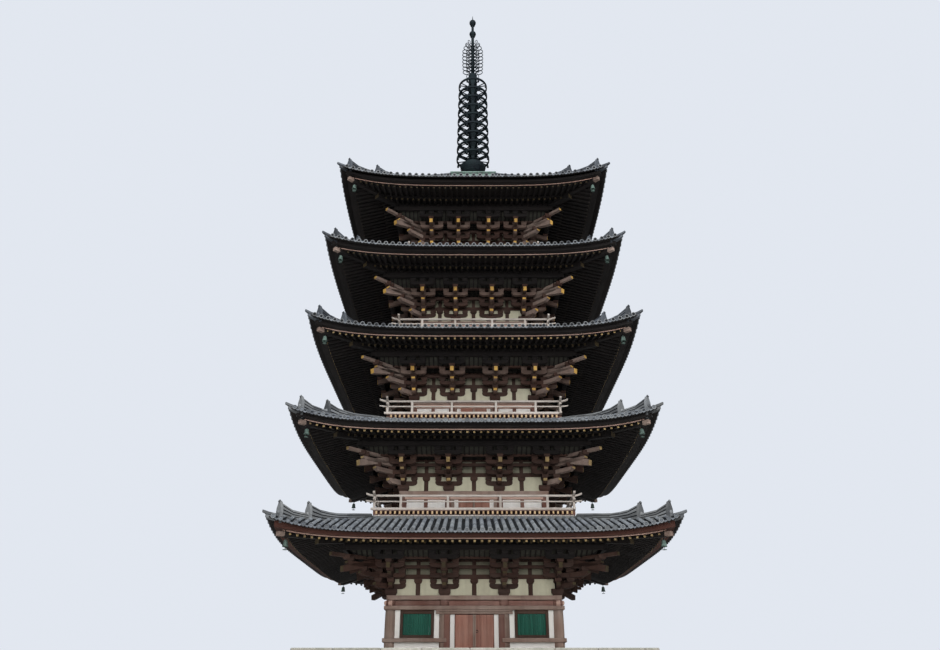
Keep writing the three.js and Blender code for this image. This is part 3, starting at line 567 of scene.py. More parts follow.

# %% [markdown]
# Smoked clay tiles are blue-grey with a soft silver sheen, and no two come out of the kiln the same. So
# the tone of each tile counts for more than the specks within it, and the sheen is a number of its own:
# the hollow tiles lie in shade, so their colour is painted near black with that shade and they hardly shine.

# %% Tile finish
def tile_finish(name, dark, light, dust, tones, sheen):
    tree, shader = start_finish(name)
    weather = add_effect(tree, weather_effect, Size=0.7)
    tone = add_effect(tree, tone_effect, Spread=tones)
    place = node(tree, "TexCoord").outputs["Object"]
    specks = node(tree, "TexNoise", None, Vector=place, Scale=22.0, Detail=4.0).outputs["Fac"]
    share = reckon(tree, "MULTIPLY_ADD", specks, 0.5, reckon(tree, "MULTIPLY", tone.outputs["Tone"], 0.7))
    share = reckon(tree, "SUBTRACT", share, 0.1, clamp=True)
    colour = mixed(tree, share, dark, light)
    colour = mixed(tree, reckon(tree, "MULTIPLY", weather.outputs["Patches"], 0.35), colour, dust)
    roughness = spread(tree, specks, 0.3, 0.7, 0.50, 0.75)
    finish_surface(tree, shader, colour, roughness, specks, 0.006)
    shader.inputs["Specular IOR Level"].default_value = sheen


TILES = {
    "roof_tile": ((0.018, 0.022, 0.030), (0.135, 0.150, 0.170), (0.16, 0.17, 0.165), 1.0, 0.35),
    # The pan tiles' near-black colour is painted shade, the shade in their hollows.
    "pan_tile": ((0.003, 0.0035, 0.005), (0.012, 0.014, 0.018), (0.016, 0.018, 0.018), 1.0, 0.08),
    "ridge_tile": ((0.020, 0.023, 0.028), (0.165, 0.175, 0.185), (0.19, 0.19, 0.18), 1.2, 0.3),
    # The upper roofs' ridges are painted darker with the shade they show against the bright sky.
    "dark_ridge": ((0.008, 0.010, 0.014), (0.075, 0.085, 0.100), (0.08, 0.085, 0.09), 1.2, 0.3),
}
for name, (dark, light, dust, tones, sheen) in TILES.items():
    tile_finish(name, dark, light, dust, tones, sheen)
print(len(TILES), "kinds of tile:", ", ".join(TILES))

# %% [markdown]
# Stone is speckled, and lime plaster nearly even, but both are stained by rain. One function does for
# all of them. The plaster between the brackets has yellowed and is painted darker with the shade of the
# eaves; high under the eaves it is painted darker still, and the ceiling plaster near black with shade.

# %% Stone and plaster
def mineral_finish(name, dark, light, stain, size, stains, bump, tones):
    tree, shader = start_finish(name)
    weather = add_effect(tree, weather_effect, Size=0.8)
    tone = add_effect(tree, tone_effect, Spread=tones)
    place = node(tree, "TexCoord").outputs["Object"]
    specks = node(tree, "TexNoise", None, Vector=place, Scale=size, Detail=6.0, Roughness=0.7)
    specks = specks.outputs["Fac"]
    share = reckon(tree, "MULTIPLY", spread(tree, specks, 0.3, 0.7), 0.55)
    share = reckon(tree, "MULTIPLY_ADD", tone.outputs["Tone"], 0.45, share, clamp=True)
    colour = mixed(tree, share, dark, light)
    stained = reckon(tree, "MULTIPLY", weather.outputs["Runs"], stains)
    stained = reckon(tree, "MULTIPLY_ADD", weather.outputs["Patches"], stains * 0.5, stained, clamp=True)
    colour = mixed(tree, stained, colour, stain)
    roughness = spread(tree, specks, 0.3, 0.7, 0.82, 0.97)
    finish_surface(tree, shader, colour, roughness, specks, bump)
    shader.inputs["Specular IOR Level"].default_value = 0.25


MINERALS = {
    "plaster": ((0.82, 0.80, 0.76), (0.96, 0.94, 0.91), (0.62, 0.57, 0.48), 6.0, 0.3, 0.003, 0.5),
    "aged_plaster": ((0.50, 0.48, 0.35), (0.66, 0.63, 0.48), (0.34, 0.29, 0.20), 6.0, 0.3, 0.003, 0.5),
    "dim_plaster": ((0.17, 0.165, 0.12), (0.29, 0.28, 0.21), (0.12, 0.10, 0.07), 6.0, 0.4, 0.003, 0.8),
    "shaded_plaster": (
        (0.030, 0.030, 0.025), (0.08, 0.078, 0.064), (0.03, 0.027, 0.023), 6.0, 0.3, 0.003, 0.8),
    "old_mortar": ((0.10, 0.10, 0.095), (0.24, 0.24, 0.23), (0.08, 0.08, 0.07), 14.0, 0.3, 0.004, 0.8),
    "stone": ((0.19, 0.18, 0.155), (0.43, 0.41, 0.37), (0.16, 0.165, 0.13), 9.0, 0.5, 0.012, 1.0),
}
for name, (dark, light, stain, size, stains, bump, tones) in MINERALS.items():
    mineral_finish(name, dark, light, stain, size, stains, bump, tones)
print(len(MINERALS), "kinds of stone and plaster:", ", ".join(MINERALS))

# %% [markdown]
# Bronze turns dark brown and then green. Where it is green it is no longer metal to the eye, so the
# patina lowers Metallic too. The dark bronze is also painted darker with the shade of the spire seen
# against the bright sky.

# %% Bronze finish
def bronze_finish(name, metal, patina, green):
    tree, shader = start_finish(name)
    weather = add_effect(tree, weather_effect, Size=1.6)
    place = node(tree, "TexCoord").outputs["Object"]
    specks = node(tree, "TexNoise", None, Vector=place, Scale=9.0, Detail=5.0, Roughness=0.65)
    specks = specks.outputs["Fac"]
    spots = spread(tree, specks, 0.4, 0.65)
    share = reckon(tree, "MULTIPLY_ADD", weather.outputs["Patches"], 0.5, spots, clamp=True)
    share = reckon(tree, "MULTIPLY", share, green)
    colour = mixed(tree, share, metal, patina)
    tree.links.new(reckon(tree, "SUBTRACT", 0.6, share, clamp=True), shader.inputs["Metallic"])
    roughness = spread(tree, share, 0, 1, 0.50, 0.80)
    finish_surface(tree, shader, colour, roughness, specks, 0.004)
    shader.inputs["Specular IOR Level"].default_value = 0.06


# The dark bronze's near-black colour includes painted shade, for the spire seen dark against the sky.
bronze_finish("dark_bronze", (0.006, 0.007, 0.010), (0.010, 0.016, 0.018), 0.9)
bronze_finish("green_bronze", (0.050, 0.065, 0.058), (0.130, 0.190, 0.165), 1.0)
print(len(FINISHES), "finishes in all")

# %% [markdown]
# ## The podium
# The tower stands on a platform of rubble that is faced with dressed stone: a plinth, upright slabs
# between short posts, a coping, and flagstones on top. Laying single stones with open joints takes a
# few lines and casts real shadows, which a brick texture on one big box would not. The joints are 6 mm
# wide. The coping stands a little higher than the paving, so that rain runs off through its joints.

# %% Courses of stone
PODIUM_HALF = 6.45
PODIUM_HEIGHT = 1.2
COPING_TOP = 1.305
STONE_JOINT = 0.006


def stone_course(parts, x, out, height, length, chamfer=0.015):
    count = max(1, round((x[1] - x[0]) / length))
    edges = [x[0] + (x[1] - x[0]) * i / count for i in range(count + 1)]
    shift = length * 0.08
    edges = [edge + chance.uniform(-shift, shift) * (0 < i < count) for i, edge in enumerate(edges)]
    for near, far in zip(edges, edges[1:]):
        timber(parts, (near, far - STONE_JOINT), out, height, "stone", "x", chamfer)


print("Podium", 2 * PODIUM_HALF, "m square,", COPING_TOP, "m high")

# %% [markdown]
# The front is laid from one corner to just short of the next, and the quarter turns close the ring. Six
# short posts stand between the slabs. Two plain cores fill the middle, below the paving, so that no
# light comes through the joints.

# %% Podium
podium = Parts()
stone_course(podium, (-PODIUM_HALF, PODIUM_HALF - 0.6), (PODIUM_HALF - 0.6, PODIUM_HALF), (0, 0.15), 1.5)
stone_course(podium, (-6.30, 6.10), (6.10, 6.29), (0.155, 0.975), 1.08)
for x in np.linspace(-6.17, 6.17, 7)[:-1]:
    timber(podium, (x - 0.15, x + 0.15), (6.10, 6.32), (0.155, 0.975), "stone", "z", 0.02)
stone_course(podium, (-PODIUM_HALF, 5.95), (5.95, PODIUM_HALF), (0.98, COPING_TOP), 1.62, 0.03)
stone_course(podium, (-5.944, 5.6), (5.6, 5.944), (0.98, PODIUM_HEIGHT), 1.28, 0.01)
stone_course(podium, (-5.594, 4.6), (4.606, 5.594), (1.08, PODIUM_HEIGHT - 0.004), 1.02, 0.01)
stone_course(podium, (-4.6, 3.58), (3.586, 4.6), (1.08, PODIUM_HEIGHT - 0.004), 1.02, 0.01)
podium = podium.four_sides()
timber(podium, (-6.12, 6.12), (-6.12, 6.12), (0.01, 1.13), "stone")
timber(podium, (-3.58, 3.58), (-3.58, 3.58), (1.13, 1.195), "stone")
podium.make("stone_podium", "stone", ["podium"])

# %% [markdown]
# A flight of steps leads up each side between two sloping cheek stones. Each step is laid from two
# blocks whose joint is shifted from the one below, as a mason would. A cheek is one plank of stone, with
# a foot that reaches back under the coping to the wall.

# %% Steps
STEP_RUN, STEP_COUNT = 0.29, 5
STEP_RISE = COPING_TOP / (STEP_COUNT + 1)
steps = Parts(PODIUM_HALF)
for step in range(STEP_COUNT):
    top = (STEP_COUNT - step) * STEP_RISE
    joint = 0.12 if step % 2 else -0.12
    for near, far in ((-1.25, joint), (joint + STONE_JOINT, 1.25)):
        reach = (0.002, (step + 1) * STEP_RUN)
        timber(steps, (near, far), reach, (top - STEP_RISE + 0.004, top), "stone", "x", 0.012)
cheek = [(0.002, 0), (1.69, 0), (1.69, 0.20), (1.62, 0.24), (0.05, 1.25), (0.002, 1.25)]
cheek += [(0.002, 0.978), (-0.163, 0.978), (-0.163, 0.152), (0.002, 0.152)]
for side in (-1, 1):
    plank(steps, cheek, steps.at(side * 1.36, 0, 0), OUTWARD, UPRIGHT, 0.24, "stone")
steps.four_sides().make("stone_steps", "stone", ["steps_front", "steps_right", "steps_back", "steps_left"])

# %% [markdown]
# Inside lies a floor of square flags, which shows only when a door is open. Twenty-five chamfered
# squares are as quick to write as one big slab, and their joints catch the light from the doorway.

# %% Floor
FLOOR_TOP = 1.39
floor = Parts()
flags = np.linspace(-3.108, 3.108, 6)
for x0, x1 in zip(flags, flags[1:]):
    for y0, y1 in zip(flags, flags[1:]):
        across, along = (x0 + 0.004, x1 - 0.004), (y0 + 0.004, y1 - 0.004)
        timber(floor, across, along, (PODIUM_HEIGHT + 0.001, FLOOR_TOP), "stone", "x", 0.01)
floor.make("flagstone_floor", "stone", ["floor"])

# %% [markdown]
# The heart pillar passes through all five storeys without touching them, stands on its own round stone,
# and carries only the spire. It tapers like the trunk it was cut from, so both it and its stone are
# turned from a profile.

# %% Heart pillar
pillar = Parts()
pillar_top = PLATE_TOPS[-1] + TOP_ROOF_HEIGHT
trunk = [(0.35, PODIUM_HEIGHT), (0.35, 6), (0.33, 15), (0.31, pillar_top - 0.01)]
turned(pillar, (0, 0, 0), trunk, 16, "grey_timber")
turned(pillar, (0, 0, FLOOR_TOP), [(0.52, 0), (0.52, 0.05), (0.44, 0.12), (0.36, 0.13)], 24, "stone")
pillar.make("heart_post", "timber", ["heart_pillar"])

# %% [markdown]
# ## The ground storey
# Twelve round columns stand on a sill. They swell very slightly, so they are turned from a profile and
# are not plain cylinders. Each side has three of its own, and the fourth belongs to the next side.

# %% Columns
SILL_TOP = 1.42
POST_FOOT = SILL_TOP + 0.0005
POST_TOP = 2.648
ground = half_span(0)
bay = bay_half(0)
columns = Parts(ground)
column_profile = [(0.196, POST_FOOT), (0.204, 1.50), (0.208, 1.95), (0.206, 2.40), (0.196, 2.805)]
for x in (-ground, -bay, bay):
    turned(columns, columns.at(x, 0, 0), column_profile, 28, "grey_timber")
print("Columns at", [round(x, 2) for x in (-ground, -bay, bay, ground)])

# %% [markdown]
# At knee height a flat rail clasps the columns from outside and stops at the doorway. Next to the
# doorway come a broad post, a strip of white wall, and the narrow jamb that the door shuts against.

# %% Low rails and door posts
corner = ground + 0.26
for side in (-1, 1):
    rail = (-corner, -(bay - 0.10)) if side < 0 else (bay - 0.10, corner - 0.115)
    timber(columns, rail, (0.145, 0.26), (1.63, 1.78), "grey_timber", "x", 0.014)
    post = sorted((side * 0.955, side * bay))
    timber(columns, post, (0.0, 0.225), (POST_FOOT, POST_TOP), "red_timber", "z", 0.012)
    strip = sorted((side * 0.727, side * 0.95))
    timber(columns, strip, (0.02, 0.09), (POST_FOOT, POST_TOP), "plaster", "z")
    jamb = sorted((side * 0.727, side * 0.775))
    timber(columns, jamb, (0.0, 0.12), (POST_FOOT, POST_TOP), "red_timber", "z", 0.008)
frames = [f"corner_frame_{name}" for name in ("front_left", "front_right", "back_right", "back_left")]
columns.four_sides().make("columns", "timber", frames)

# %% [markdown]
# The sill is a ring of four beams, and each one butts against the side of the next. If they ran through
# each other at the corners, their faces would lie in one plane and flicker black in the render.

# %% Sill
sill = Parts(ground)
sill_span = (-ground - 0.26, ground - 0.206)
timber(sill, sill_span, (-0.205, 0.26), (PODIUM_HEIGHT + 0.001, SILL_TOP), "grey_timber", "x", 0.02)
sill.four_sides().make("sill", "timber", ["sill_beam"])

# %% [markdown]
# Above the windows the timbers lie in layers. First a clasping rail runs round the tower at the height
# of the column heads. Under it the door has two thin rails of its own, one a little prouder than the
# other, and a lintel.

# %% Head rails
head = Parts(ground)
timber(head, (-ground - 0.245, ground + 0.125), (0.125, 0.245), (2.815, 2.96), "grey_timber", "x", 0.014)
timber(head, (-ground + 0.1, ground - 0.1), (-0.10, 0.12), (2.81, 2.955), "red_timber", "x")
for low, top, reach in ((2.655, 2.725, 0.245), (2.735, 2.808, 0.268)):
    timber(head, (-1.51, 1.51), (0.206, reach), (low, top), "grey_timber", "x", 0.012)
timber(head, (-bay + 0.2, bay - 0.2), (-0.06, 0.206), (2.65, 2.80), "red_timber", "x")
print("Rails along", round(2 * (ground + 0.245), 2), "m of each side")

# %% [markdown]
# Then a tie beam fills the gaps between the column heads. It seems to run through the corner column,
# but only its shaped nose is made beyond it, as a plank sawn to a curl. The wall plate lies on top. It
# widens upward, so it is a plank with a slanted outline, and the brackets stand on it.

# %% Tie beams and wall plate
HEAD_GAP = 0.18
for x0, x1 in ((-ground, -bay), (-bay, bay), (bay, ground)):
    timber(head, (x0 + HEAD_GAP, x1 - HEAD_GAP), (-0.09, 0.09), (2.965, 3.165), "red_timber", "x", 0.012)
for x in (-ground, -bay, bay):
    turned(head, head.at(x, 0, 0), [(0.198, 2.95), (0.200, 3.12), (0.17, 3.19)], 28, "red_timber")
nose = [(0, 0), (0.19, 0), (0.25, 0.05), (0.265, 0.11), (0.25, 0.17), (0.20, 0.2), (0, 0.2)]
plank(head, nose, head.at(-ground, 0, 2.965), (-1, 0, 0), UPRIGHT, 0.15, "eave_board")
plank(head, nose, head.at(ground, 0, 2.965), ALONG, UPRIGHT, 0.15, "eave_board")
plate = [(-ground - 0.17, 0.16), (-ground - 0.08, 0), (ground + 0.08, 0), (ground + 0.17, 0.16)]
plank(head, plate, head.at(0, 0, 3.19), ALONG, UPRIGHT, 0.34, "grey_timber")
head.four_sides().make("head_rails", "timber", ["head_beams"])

# %% [markdown]
# Each side bay holds a window of upright green bars. Each bar is set cornerwise, and a piece turned
# with only four sides gives just that. The dark frame reaches from rail to rail, and around it the wall
# is white lime plaster.

# %% Window
WINDOW_CENTRE, WINDOW_HALF = 2.25, 0.555
WINDOW_LOW, WINDOW_TOP = 1.78, 2.81
FRAME_WIDTH = 0.115
WINDOW_BARS = 13


def window(parts, near, far):
    for x in ((near - FRAME_WIDTH, near), (far, far + FRAME_WIDTH)):
        timber(parts, x, (-0.06, 0.10), (WINDOW_LOW, WINDOW_TOP), "frame_timber", "z", 0.01)
    for height in ((WINDOW_LOW, 1.90), (2.67, WINDOW_TOP)):
        timber(parts, (near, far), (-0.06, 0.09), height, "frame_timber", "x", 0.01)
    for bar in range(WINDOW_BARS):
        foot = parts.at(near + (bar + 0.5) * 2 * WINDOW_HALF / WINDOW_BARS, 0.02, 1.89)
        turned(parts, foot, [(0.042, 0), (0.042, 0.79)], 4, "lattice_green", smooth=False)


print("Window of", 2 * WINDOW_HALF, "m between its frames, with", WINDOW_BARS, "bars")

# %% [markdown]
# The wall itself is four plates of plaster and a low rail, each ending where its neighbour begins.
# Cutting a hole into one big plate with a Boolean modifier would be more work for the same look.

# %% Side bay walls
walls = Parts(ground)
for side in (-1, 1):
    near, far = sorted((side * (bay + 0.19), side * (ground - 0.19)))
    frame_near, frame_far = side * WINDOW_CENTRE - WINDOW_HALF, side * WINDOW_CENTRE + WINDOW_HALF
    for x in ((near, frame_near - FRAME_WIDTH), (frame_far + FRAME_WIDTH, far)):
        timber(walls, x, (-0.05, 0.05), (WINDOW_LOW, WINDOW_TOP), "plaster", "z")
    timber(walls, (near, far), (-0.05, 0.05), (POST_FOOT, 1.65), "plaster", "x")
    timber(walls, (near, far), (-0.05, 0.09), (1.65, WINDOW_LOW), "red_timber", "x")
    window(walls, frame_near, frame_far)
WALL_FACES = ("front", "right", "back", "left")
wall_nodes = [f"wall_{face}_{hand}" for face in WALL_FACES for hand in ("left", "right")]
walls.four_sides().make("bay_walls", "plaster", wall_nodes)

# %% [markdown]
# ## The doors
# The front doors are the one thing that moves: two leaves of upright boards on pivots. The right leaf has
# a ring to pull it by. It is a small circle turned round an axis, which needs no new tool.

# %% Ring pull
def ring_pull(parts):
    round_bar = [(0.045 + 0.008 * math.cos(a), 0.008 * math.sin(a)) for a in np.linspace(0, 2 * math.pi, 9)]
    turned(parts, parts.at(0.10, 0.200, 2.02), round_bar, 16, "dark_bronze", OUTWARD, ends=False)
    staple = [(0.02, 0), (0.02, 0.016), (0.01, 0.022)]
    turned(parts, parts.at(0.10, 0.190, 2.065), staple, 12, "dark_bronze", OUTWARD)


print("The ring pull hangs 2.02 m above the ground")

# %% [markdown]
# A leaf is three boards with narrow joints on a backing, a cover strip on its free edge and a stile at
# the other. Its pivot is a round post with a thin pin at each end. The pin is a turned piece on the very
# axis of the hinge, so it stays in place while the leaf swings.

# %% Door leaf
LEAF_FOOT, LEAF_TOP = 1.432, 2.63
LEAF_WIDTH = 0.716
PIVOT = (0.72, 0.165)
BOARD_JOINT = 0.0025


def door_leaf(parts, side):
    edges = np.linspace(0.004, LEAF_WIDTH, 4)
    tall = (LEAF_FOOT, LEAF_TOP)
    for near, far in zip(edges, edges[1:]):
        board = sorted((side * (near + BOARD_JOINT), side * (far - BOARD_JOINT)))
        timber(parts, board, (0.13, 0.192), tall, "door_boards", "z", 0.006)
    timber(parts, sorted((side * 0.004, side * LEAF_WIDTH)), (0.135, 0.160), tall, "door_boards", "x")
    timber(parts, sorted((side * 0.0035, side * 0.062)), (0.19, 0.222), tall, "grey_timber", "z", 0.008)
    timber(parts, sorted((side * 0.672, side * 0.718)), (0.19, 0.204), tall, "door_boards", "z", 0.006)
    axis = parts.at(side * PIVOT[0], PIVOT[1], 0)
    turned(parts, axis, [(0.033, LEAF_FOOT), (0.033, LEAF_TOP)], 16, "door_boards")
    turned(parts, axis, [(0.026, POST_FOOT), (0.026, 2.6495)], 16, "dark_timber")
    if side > 0:
        ring_pull(parts)


print("A leaf is", LEAF_WIDTH, "m wide and", round(LEAF_TOP - LEAF_FOOT, 2), "m high")

# %% [markdown]
# Both front leaves are drawn shut. Each becomes an object of its own that rides on the body of its
# hinge, and the pose of the frame opens it. The doors of the other sides are one piece with the tower.

# %% Doors
for side, hand in ((-1, "left"), (1, "right")):
    leaf = Parts(ground)
    door_leaf(leaf, side)
    leaf.make(f"{hand}_leaf", "door_boards", [f"door_leaf_{hand}"], f"{hand}_door")

closed = Parts(ground)
door_leaf(closed, -1)
door_leaf(closed, 1)
timber(closed, (-PIVOT[0], PIVOT[0]), (0.14, 0.17), (POST_FOOT, 2.6495), "door_boards", "x")
closed.four_sides((1, 2, 3)).make("closed_doors", "door_boards", ["door_right", "door_back", "door_left"])

# %% [markdown]
# ## The curve of the roofs
# A pagoda roof is flat at the eave and steeper higher up, and its edge rises toward each corner. Both
# curves are short formulas. All that lies on or under a roof asks them for its height, and so rafters,
# boards and tiles keep together on all five storeys.

# %% Roof curves
def roof_inner(storey):
    return TOP_ROOF_FLAT - half_span(storey) if storey == STOREYS - 1 else SHELF_REACH


def roof_height(storey, out):
    """Height of the roof's top above the wall plate."""
    inner = roof_inner(storey)
    peak, slope = (TOP_ROOF_HEIGHT, 0.5) if storey == STOREYS - 1 else (SHELF_HEIGHT, 0.2)
    length = OVERHANG - inner
    bend = (peak - ROOF_EDGE_HEIGHT - slope * length) / length ** 2
    inward = OVERHANG - max(out, inner)
    return ROOF_EDGE_HEIGHT + slope * inward + bend * inward ** 2


def corner_lift(storey, x, out, lifts=TIMBER_LIFTS):
    """The rise toward the corners, at a place x along the side."""
    share = max(0.0, out - SHELF_REACH) / (OVERHANG - SHELF_REACH)
    return lifts[storey] * min(1.0, abs(x) / (half_span(storey) + out)) ** LIFT_POWERS[storey] * share ** 2


def tile_bed(storey, x, out):
    """Height of the bed that the tiles lie in: it sags a little at the eave and is full in the middle."""
    share = min(1.0, max(0.0, (out - roof_inner(storey)) / (OVERHANG - roof_inner(storey))))
    full = 0.05 * (1 - share) + 0.36 * share * (1 - share) - 0.03 * share ** 4
    return roof_height(storey, out) + full + corner_lift(storey, x, out, TILE_LIFTS)


print("The lowest roof's edge lies", round(roof_height(0, OVERHANG), 2), "m above its wall plate")
for storey in range(STOREYS):
    edge = half_span(storey) + OVERHANG
    lift = corner_lift(storey, edge, OVERHANG, TILE_LIFTS)
    print("Roof", storey + 1, "lifts its corners by", round(lift, 2), "m")

# %% [markdown]
# Boards and beds that run along the whole side bend with the eave. A flat board with a Curve modifier
# could do it, but the bend here is a formula, so the board is cut into 32 lengths and each cut asks the
# formula for its height. A board's outer face can have a finish of its own, so that the rest of the
# board can be painted with the shade it lies in.

# %% Boards that follow the eave
TIMBER_BOTH = (TIMBER_LIFTS, TIMBER_LIFTS)
BOARD_CUTS = 32


def roof_layer(parts, storey, near, far, top, bottom, finish, rows=1, lifts=TIMBER_BOTH, face=None):
    """A closed board or bed between two reaches, one side wide, that follows the corner lift."""
    points, columns = [], BOARD_CUTS
    for level, lift in zip((top, bottom), lifts):
        for out in np.linspace(near, far, rows + 1):
            for u in np.linspace(-1, 1, columns + 1):
                x = u * (parts.half + out)
                points.append(parts.at(x, out, level(out) + corner_lift(storey, x, out, lift)))
    wide, layer = columns + 1, (columns + 1) * (rows + 1)
    faces = []
    for row in range(rows):
        for column in range(columns):
            a = row * wide + column
            faces.append((a, a + 1, a + wide + 1, a + wide))
            faces.append((layer + a, layer + a + wide, layer + a + wide + 1, layer + a + 1))
    rim = list(range(wide)) + [row * wide + columns for row in range(1, rows + 1)]
    rim += [rows * wide + column for column in range(columns - 1, -1, -1)]
    rim += [row * wide for row in range(rows - 1, 0, -1)]
    finishes = [finish] * len(faces) + [face or finish] * columns
    faces += [(a, layer + a, layer + b, b) for a, b in zip(rim, rim[1:] + rim[:1])]
    parts.add(points, faces, finishes + [finish] * (len(faces) - len(finishes)))


print("A board along the lowest eave is cut every", round(2 * (half_span(0) + OVERHANG) / BOARD_CUTS, 2), "m")

# %% [markdown]
# ## Tiles
# The roofs are laid with two kinds of tile: broad pan tiles that lie hollow side up, and half-round
# cover tiles over the joints between them. Each tile laps the one below it, so every course leaves a
# small step. Thousands of copies of one tile would be heavy, so a row is one skin whose section widens
# and narrows with every course, and each course has its own tone.

# %% Rows of cover tiles
ROW_SPACINGS = [0.28, 0.28, 0.29, 0.30, 0.30]
TILE_LENGTH = 0.29
COVER_ARC = [(math.cos(a), math.sin(a)) for a in np.linspace(0, math.pi, 6)]


def courses(start, end):
    """The places of the joints between tiles on the way up the roof."""
    return np.linspace(start, end, max(1, round((start - end) / TILE_LENGTH)) + 1)


def cover_row(roof, storey, x, end):
    """Half-round tiles up the slope, each a little wider at its lower end."""
    points, tones = [], []
    places = courses(OVERHANG, end)
    for lower, upper in zip(places, places[1:]):
        for out, radius in ((lower, 0.080), (upper, 0.068)):
            height = tile_bed(storey, x, out) + 0.01
            points += [roof.at(x + radius * c, out, height + radius * s) for c, s in COVER_ARC]
        tones += [chance.random()] * 10
    rings = len(points) // 6
    firsts = [6 * ring + i for ring in range(rings - 1) for i in range(5)]
    faces = [(i, i + 1, i + 7, i + 6) for i in firsts]
    roof.add(points, faces, "roof_tile", "y", True, UPRIGHT, tones[:len(faces)])


print("A cover row on the lowest roof has", len(courses(OVERHANG, SHELF_REACH)) - 1, "tiles")

# %% [markdown]
# The pan tiles between two cover rows show as a dark hollow with a lip at every course, and their colour
# paints the shade of that hollow. From below only their ends at the eave are seen, so the last one gets a
# thick rim of a slightly hanging shape.

# %% Rows of pan tiles
def pan_row(roof, storey, x, end):
    points, tones = [], []
    places = courses(OVERHANG - 0.01, end)
    for lower, upper in zip(places, places[1:]):
        for out, lip in ((lower, 0.024), (upper, 0.0)):
            for across, sag in ((-0.085, 0.0), (0.0, -0.035), (0.085, 0.0)):
                points.append(roof.at(x + across, out, tile_bed(storey, x + across, out) + lip + sag))
        tones += [chance.random()] * 4
    rings = len(points) // 3
    firsts = [3 * ring + i for ring in range(rings - 1) for i in range(2)]
    faces = [(i, i + 1, i + 4, i + 3) for i in firsts]
    roof.add(points, faces, "pan_tile", "y", False, UPRIGHT, tones[:len(faces)])
    lip = [(-0.095, 0.03), (0.0, -0.01), (0.095, 0.03), (0.095, -0.02), (0.0, -0.075), (-0.095, -0.02)]
    height = tile_bed(storey, x, OVERHANG)
    plank(roof, lip, roof.at(x, OVERHANG - 0.015, height), ALONG, UPRIGHT, 0.03, "roof_tile")


print("Pan rows lie", ROW_SPACINGS, "m apart, from the lowest roof up")

# %% [markdown]
# Each cover row ends in a round tile that faces outward, and these make the line of dots along the
# eave. A rim and a raised middle are turned separately, so that the ground between them can be darker:
# on the three highest roofs it is painted near black with the shade in its recess.

# %% Eave discs
DISC_RADIUS = 0.09


def eave_disc(roof, storey, x):
    centre = roof.at(x, OVERHANG - 0.03, tile_bed(storey, x, OVERHANG) + 0.025)
    rim = [(0.088, 0), (DISC_RADIUS, 0.050), (0.066, 0.050), (0.064, 0.03)]
    turned(roof, centre, rim, 12, "ridge_tile", OUTWARD, "x", smooth=False, ends=False)
    face = [(0.066, 0.0), (0.066, 0.034), (0.034, 0.034), (0.028, 0.044)]
    # On the upper roofs the disc's face is painted near black for the shade in its recess.
    finish = "roof_tile" if storey < 2 else "pan_tile"
    turned(roof, centre, face, 10, finish, OUTWARD, "x", smooth=False)


print("A disc is", 2 * DISC_RADIUS, "m wide")

# %% [markdown]
# Now one side can be laid, from the left hip to the right one. A row ends where it meets the hip, which
# runs at 45 degrees in plan, so its length follows from its distance to the middle. A closed bed under
# the tiles keeps the light out.

# %% One side of a roof
def tile_side(roof, storey):
    half, inner = roof.half, roof_inner(storey)
    spacing = ROW_SPACINGS[storey]
    rows = int((half + OVERHANG - 0.16) / spacing)
    for row in range(-rows, rows + 1):
        x = row * spacing
        end = max(inner, abs(x) - half + 0.04)
        cover_row(roof, storey, x, end)
        eave_disc(roof, storey, x)
        if row < rows:
            middle = x + spacing / 2
            pan_row(roof, storey, middle, max(inner, abs(middle) - half + 0.06))
    roof_layer(
        roof, storey, OVERHANG - 0.04, inner,
        lambda out: tile_bed(storey, 0, out) - 0.05, lambda out: roof_height(storey, out) - 0.12,
        "dark_timber", 8, (TILE_LIFTS, TILE_LIFTS),
    )


side_rows = int((half_span(0) + OVERHANG - 0.16) / ROW_SPACINGS[0])
print("The lowest roof has", 2 * side_rows + 1, "cover rows a side")

# %% [markdown]
# ## Hip ridges
# Where two slopes meet, flat tiles are stacked in mortar and closed with a round cap. Seen from the end
# such a ridge is a comb of layers, so its section is drawn once as a list of points, and the ridge is a
# run of that section along the hip. The recessed joints between the layers get the near-black tile
# colour, which paints the shade in them.

# %% Section of a ridge
def hip_place(parts, storey, out, across, height):
    """A place on the hip at the front left corner, shifted across it."""
    edge = parts.half + out
    top = parts.base + roof_height(storey, out) + corner_lift(storey, edge, out, HIP_LIFTS)
    slant = across / math.sqrt(2)
    return (-edge - slant, -edge + slant, top + height)


CAP_RADIUS = 0.085
RIDGE_LAYERS = 4


def ridge_section(width, height):
    layers = RIDGE_LAYERS
    thick = height / layers
    side = [(width / 2, -0.20)]
    for layer in range(layers):
        reach = width / 2 - 0.03 * layer / layers
        side += [(reach, layer * thick), (reach, (layer + 0.62) * thick)]
        side += [(reach - 0.022, (layer + 0.62) * thick), (reach - 0.022, (layer + 1) * thick)]
    middle = height + 0.01
    cap = [(CAP_RADIUS * math.cos(a), middle + CAP_RADIUS * math.sin(a)) for a in np.linspace(0, math.pi, 7)]
    return side + cap + [(-reach, up) for reach, up in reversed(side)]


print("A ridge section has", len(ridge_section(0.34, 0.3)), "points")

# %% [markdown]
# The height of a ridge changes on the way: it swells toward its lower end. So it is given as a crest
# line of a few places, and `np.interp` fills in the rest.

# %% Ridge along a hip
def ridge_finish(storey):
    """The ridges of the three highest roofs are painted darker with the shade they show against the sky."""
    return "ridge_tile" if storey < 2 else "dark_ridge"


